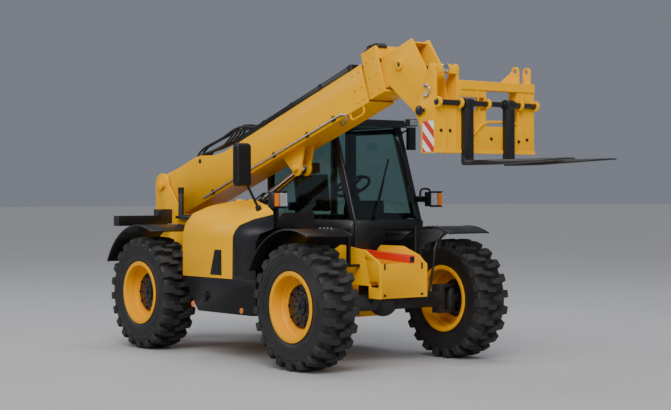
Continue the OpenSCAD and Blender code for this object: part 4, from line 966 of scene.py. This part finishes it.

# %% [markdown]
# ## Front plates
# The front panel has slots, and black blocks set into them are painted shade. The red strut is an open square
# tube, its open end covered by a black plate that is painted shade, and a bent stay carries the front edge of the
# left mudguard.

# %% Painted shade in the slots and on the strut end, and the stay
NOSE_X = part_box("chassis_frame")[1].x
# The black blocks in the slots and on the strut's open end are painted shade.
painted_shade_blocks = Form()
for y in (0.236, -0.236):
    painted_shade_blocks.block(Vector((NOSE_X - 0.004, y, 0.965)), (0.006, 0.020, 0.060))
    painted_shade_blocks.block(Vector((NOSE_X - 0.004, y, 0.690)), (0.006, 0.030, 0.022))
strut_low, strut_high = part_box("safety_strut")
strut_end = Vector((strut_high.x - 0.0015, (strut_low.y + strut_high.y) / 2, strut_low.z + 0.0365))
# A black plate over the strut's open tube end: painted shade.
painted_shade_blocks.block(strut_end, (0.004, 0.053, 0.053))
painted_shade_blocks.piece("front_painted_shade", BLACK_PAINT, "chassis", 0.001)
STAY_ROUTE = ((1.580, 0.640, 1.288), (1.615, 0.560, 1.262), (1.632, 0.490, 1.205), (1.634, 0.452, 1.130),
              (1.630, 0.440, 1.000), (1.615, 0.425, 0.830), (1.604, 0.410, 0.720), (1.600, 0.370, 0.690),
              (1.600, 0.296, 0.690))
stay = Form()
stay.tube([at(*spot) for spot in STAY_ROUTE], 0.013, 12)
stay.piece("left_guard_stay", BLACK_PAINT, "chassis")

# %% [markdown]
# ## Mudguard edges and fixings
# A moulded mudguard has a rolled lip that stiffens it, and four bolts hold each one down.

# %% Lips and bolts
GUARD_R, GUARD_TOP_R = 0.726, 0.732
GUARD_EDGES, BOLT_Y = (1.146, 0.624), 0.70
FROM, TO = math.radians(66), math.radians(154)
lips, caps = Form(), Form()
for wheel, side in WHEELS.items():
    hub = middle("tyre_" + wheel)
    for y in GUARD_EDGES:
        centre = Vector((hub.x, side * y, hub.z))
        lips.tube(arc(centre, GUARD_R, FROM, TO, 28, (1, 0, 0), (0, 0, 1)), 0.010, 8)
    for k in range(4):
        a = math.radians(84 + 4.5 * k)
        out = Vector((math.cos(a), 0, math.sin(a)))
        caps.bolt(Vector((hub.x, side * BOLT_Y, hub.z)) + out * GUARD_TOP_R, out, 0.013)
lips.piece("guard_lips", PLASTIC, "chassis")
caps.piece("guard_bolts", STEEL, "chassis")

# %% [markdown]
# ## Engine side
# The bonnet has a sunk latch with a tapered grip, the tank a screw cap, and the exhaust ends in
# a cut pipe with a dark mouth.

# %% Latch, cap and exhaust mouth
latch = Form()
side_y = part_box("bonnet")[0].y
latch.sheet([at(x, side_y - 0.0005, z) for x, z in
             ((-0.016, 1.106), (0.102, 1.106), (0.108, 0.850), (-0.102, 0.850))], (0, -0.004, 0))
latch.sheet([at(x, side_y - 0.004, z) for x, z in
             ((0.002, 1.090), (0.086, 1.090), (0.090, 1.010), (-0.018, 1.010))], (0, -0.009, 0))
latch.lathe(at(0.040, side_y - 0.0045, 0.930), (0, -1, 0), [(0, 0.017), (0.006, 0.017), (0.008, 0.012)], 20)
latch.piece("bonnet_latch", PLASTIC, "bonnet", 0.002)
cap = Form()
cap.lathe(at(-0.20, -1.05, 0.62), (0, -1, 0), [(0, 0.052), (0.018, 0.050), (0.022, 0.040)], 24)
cap.piece("tank_cap", PLASTIC, "chassis")
mouth = Form()
ex_low, ex_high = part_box("exhaust")
ex = Vector((ex_low.x + 0.120, ex_low.y + 0.030, ex_high.z))
mouth.lathe(ex, (0, 0, 1),
            [(-0.06, 0.034), (0.004, 0.034), (0.004, 0.026), (-0.06, 0.026), (-0.06, 0.034)], 24, False)
mouth.piece("exhaust_mouth", BLACK_PAINT, "chassis")

# %% [markdown]
# ## Back and steps
# The tow jaw holds its pin with a bent grip, and the entry steps have raised treads.

# %% Tow pin and treads
tow_low, tow_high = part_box("tow_hitch")
pin = Form()
tow = Vector((tow_low.x + 0.055, 0, tow_low.z))
pin.rod(tow, Vector((tow.x, 0, tow_high.z - 0.030)), 0.0150, 20)
GRIP_ROUTE = ((0, -0.04), (0, 0.005), (0.012, 0.022), (0.05, 0.022))
pin.tube([Vector((tow.x, y, tow_high.z + z)) for y, z in GRIP_ROUTE], 0.010)
pin.piece("tow_pin", STEEL, "chassis")
treads = Form()
box_low, box_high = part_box("step_box")
for k in range(7):
    x = box_low.x + 0.46 + 0.065 * k
    treads.block(Vector((x, box_high.y - 0.12, box_low.z + 0.183)), (0.018, 0.20, 0.006))
treads.piece("step_treads", STEEL, "chassis")

# %% [markdown]
# ## Stage and light
# A pale floor and an even room are enough. Two large soft lamps stand in for the studio's
# ceiling panels, weaker ones at the side and in front fill the shadows, and a broad even light
# like that of a glass roof keeps the floor pale as far as one can see.

# %% Floor, room and lamps
FLOOR_SIZE = 400.0
floor_mesh = bpy.data.meshes.new("studio_floor")
half = FLOOR_SIZE / 2
floor_corners = [(-half, -half, 0), (half, -half, 0), (half, half, 0), (-half, half, 0)]
floor_mesh.from_pydata(floor_corners, [], [(0, 1, 2, 3)])
floor = bpy.data.objects.new("studio_floor", floor_mesh)
bpy.context.scene.collection.objects.link(floor)
concrete = Finish("studio_concrete")
patch = concrete.noise(0.6, 6.0, 0.6)
concrete.wear(concrete.blend(patch, rgb(0.38, 0.38, 0.38), rgb(0.44, 0.44, 0.435)), 0.55 + patch * 0.2)
floor_mesh.materials.append(concrete.material)

room = bpy.data.worlds.new("studio_room")
room.use_nodes = True
backdrop = room.node_tree.nodes["Background"]
backdrop.inputs["Color"].default_value = rgb(0.78, 0.84, 1.0)
backdrop.inputs["Strength"].default_value = 0.25
bpy.context.scene.world = room


def lamp(name, place, target, size, watts):
    light = bpy.data.lights.new(name, "AREA")
    light.shape, light.size, light.size_y, light.energy = "RECTANGLE", size, size * 0.6, watts
    obj = bpy.data.objects.new(name, light)
    obj.location = place
    obj.rotation_mode = "QUATERNION"
    obj.rotation_quaternion = (Vector(target) - Vector(place)).to_track_quat("-Z", "Y")
    bpy.context.scene.collection.objects.link(obj)


lamp("key_panel", at(10.8, -9.9, 13.5), at(0, 0, 1.2), 9.0, 1260)
lamp("ceiling_panel", at(-1.8, 1.8, 15.3), at(0, 0, 1.0), 12.6, 1090)
lamp("side_panel", at(-11.7, -12.6, 8.1), at(-0.5, 0, 1.2), 7.2, 510)
lamp("front_panel", at(16.2, -1.8, 4.7), at(1.0, -0.2, 1.2), 7.2, 380)
daylight = bpy.data.lights.new("roof_light", "SUN")
daylight.energy, daylight.angle = 1.9, math.radians(50)
roof_light = bpy.data.objects.new("roof_light", daylight)
roof_light.rotation_mode = "QUATERNION"
roof_light.rotation_quaternion = Vector((-6.0, 6.5, -8.0)).to_track_quat("-Z", "Y")
bpy.context.scene.collection.objects.link(roof_light)
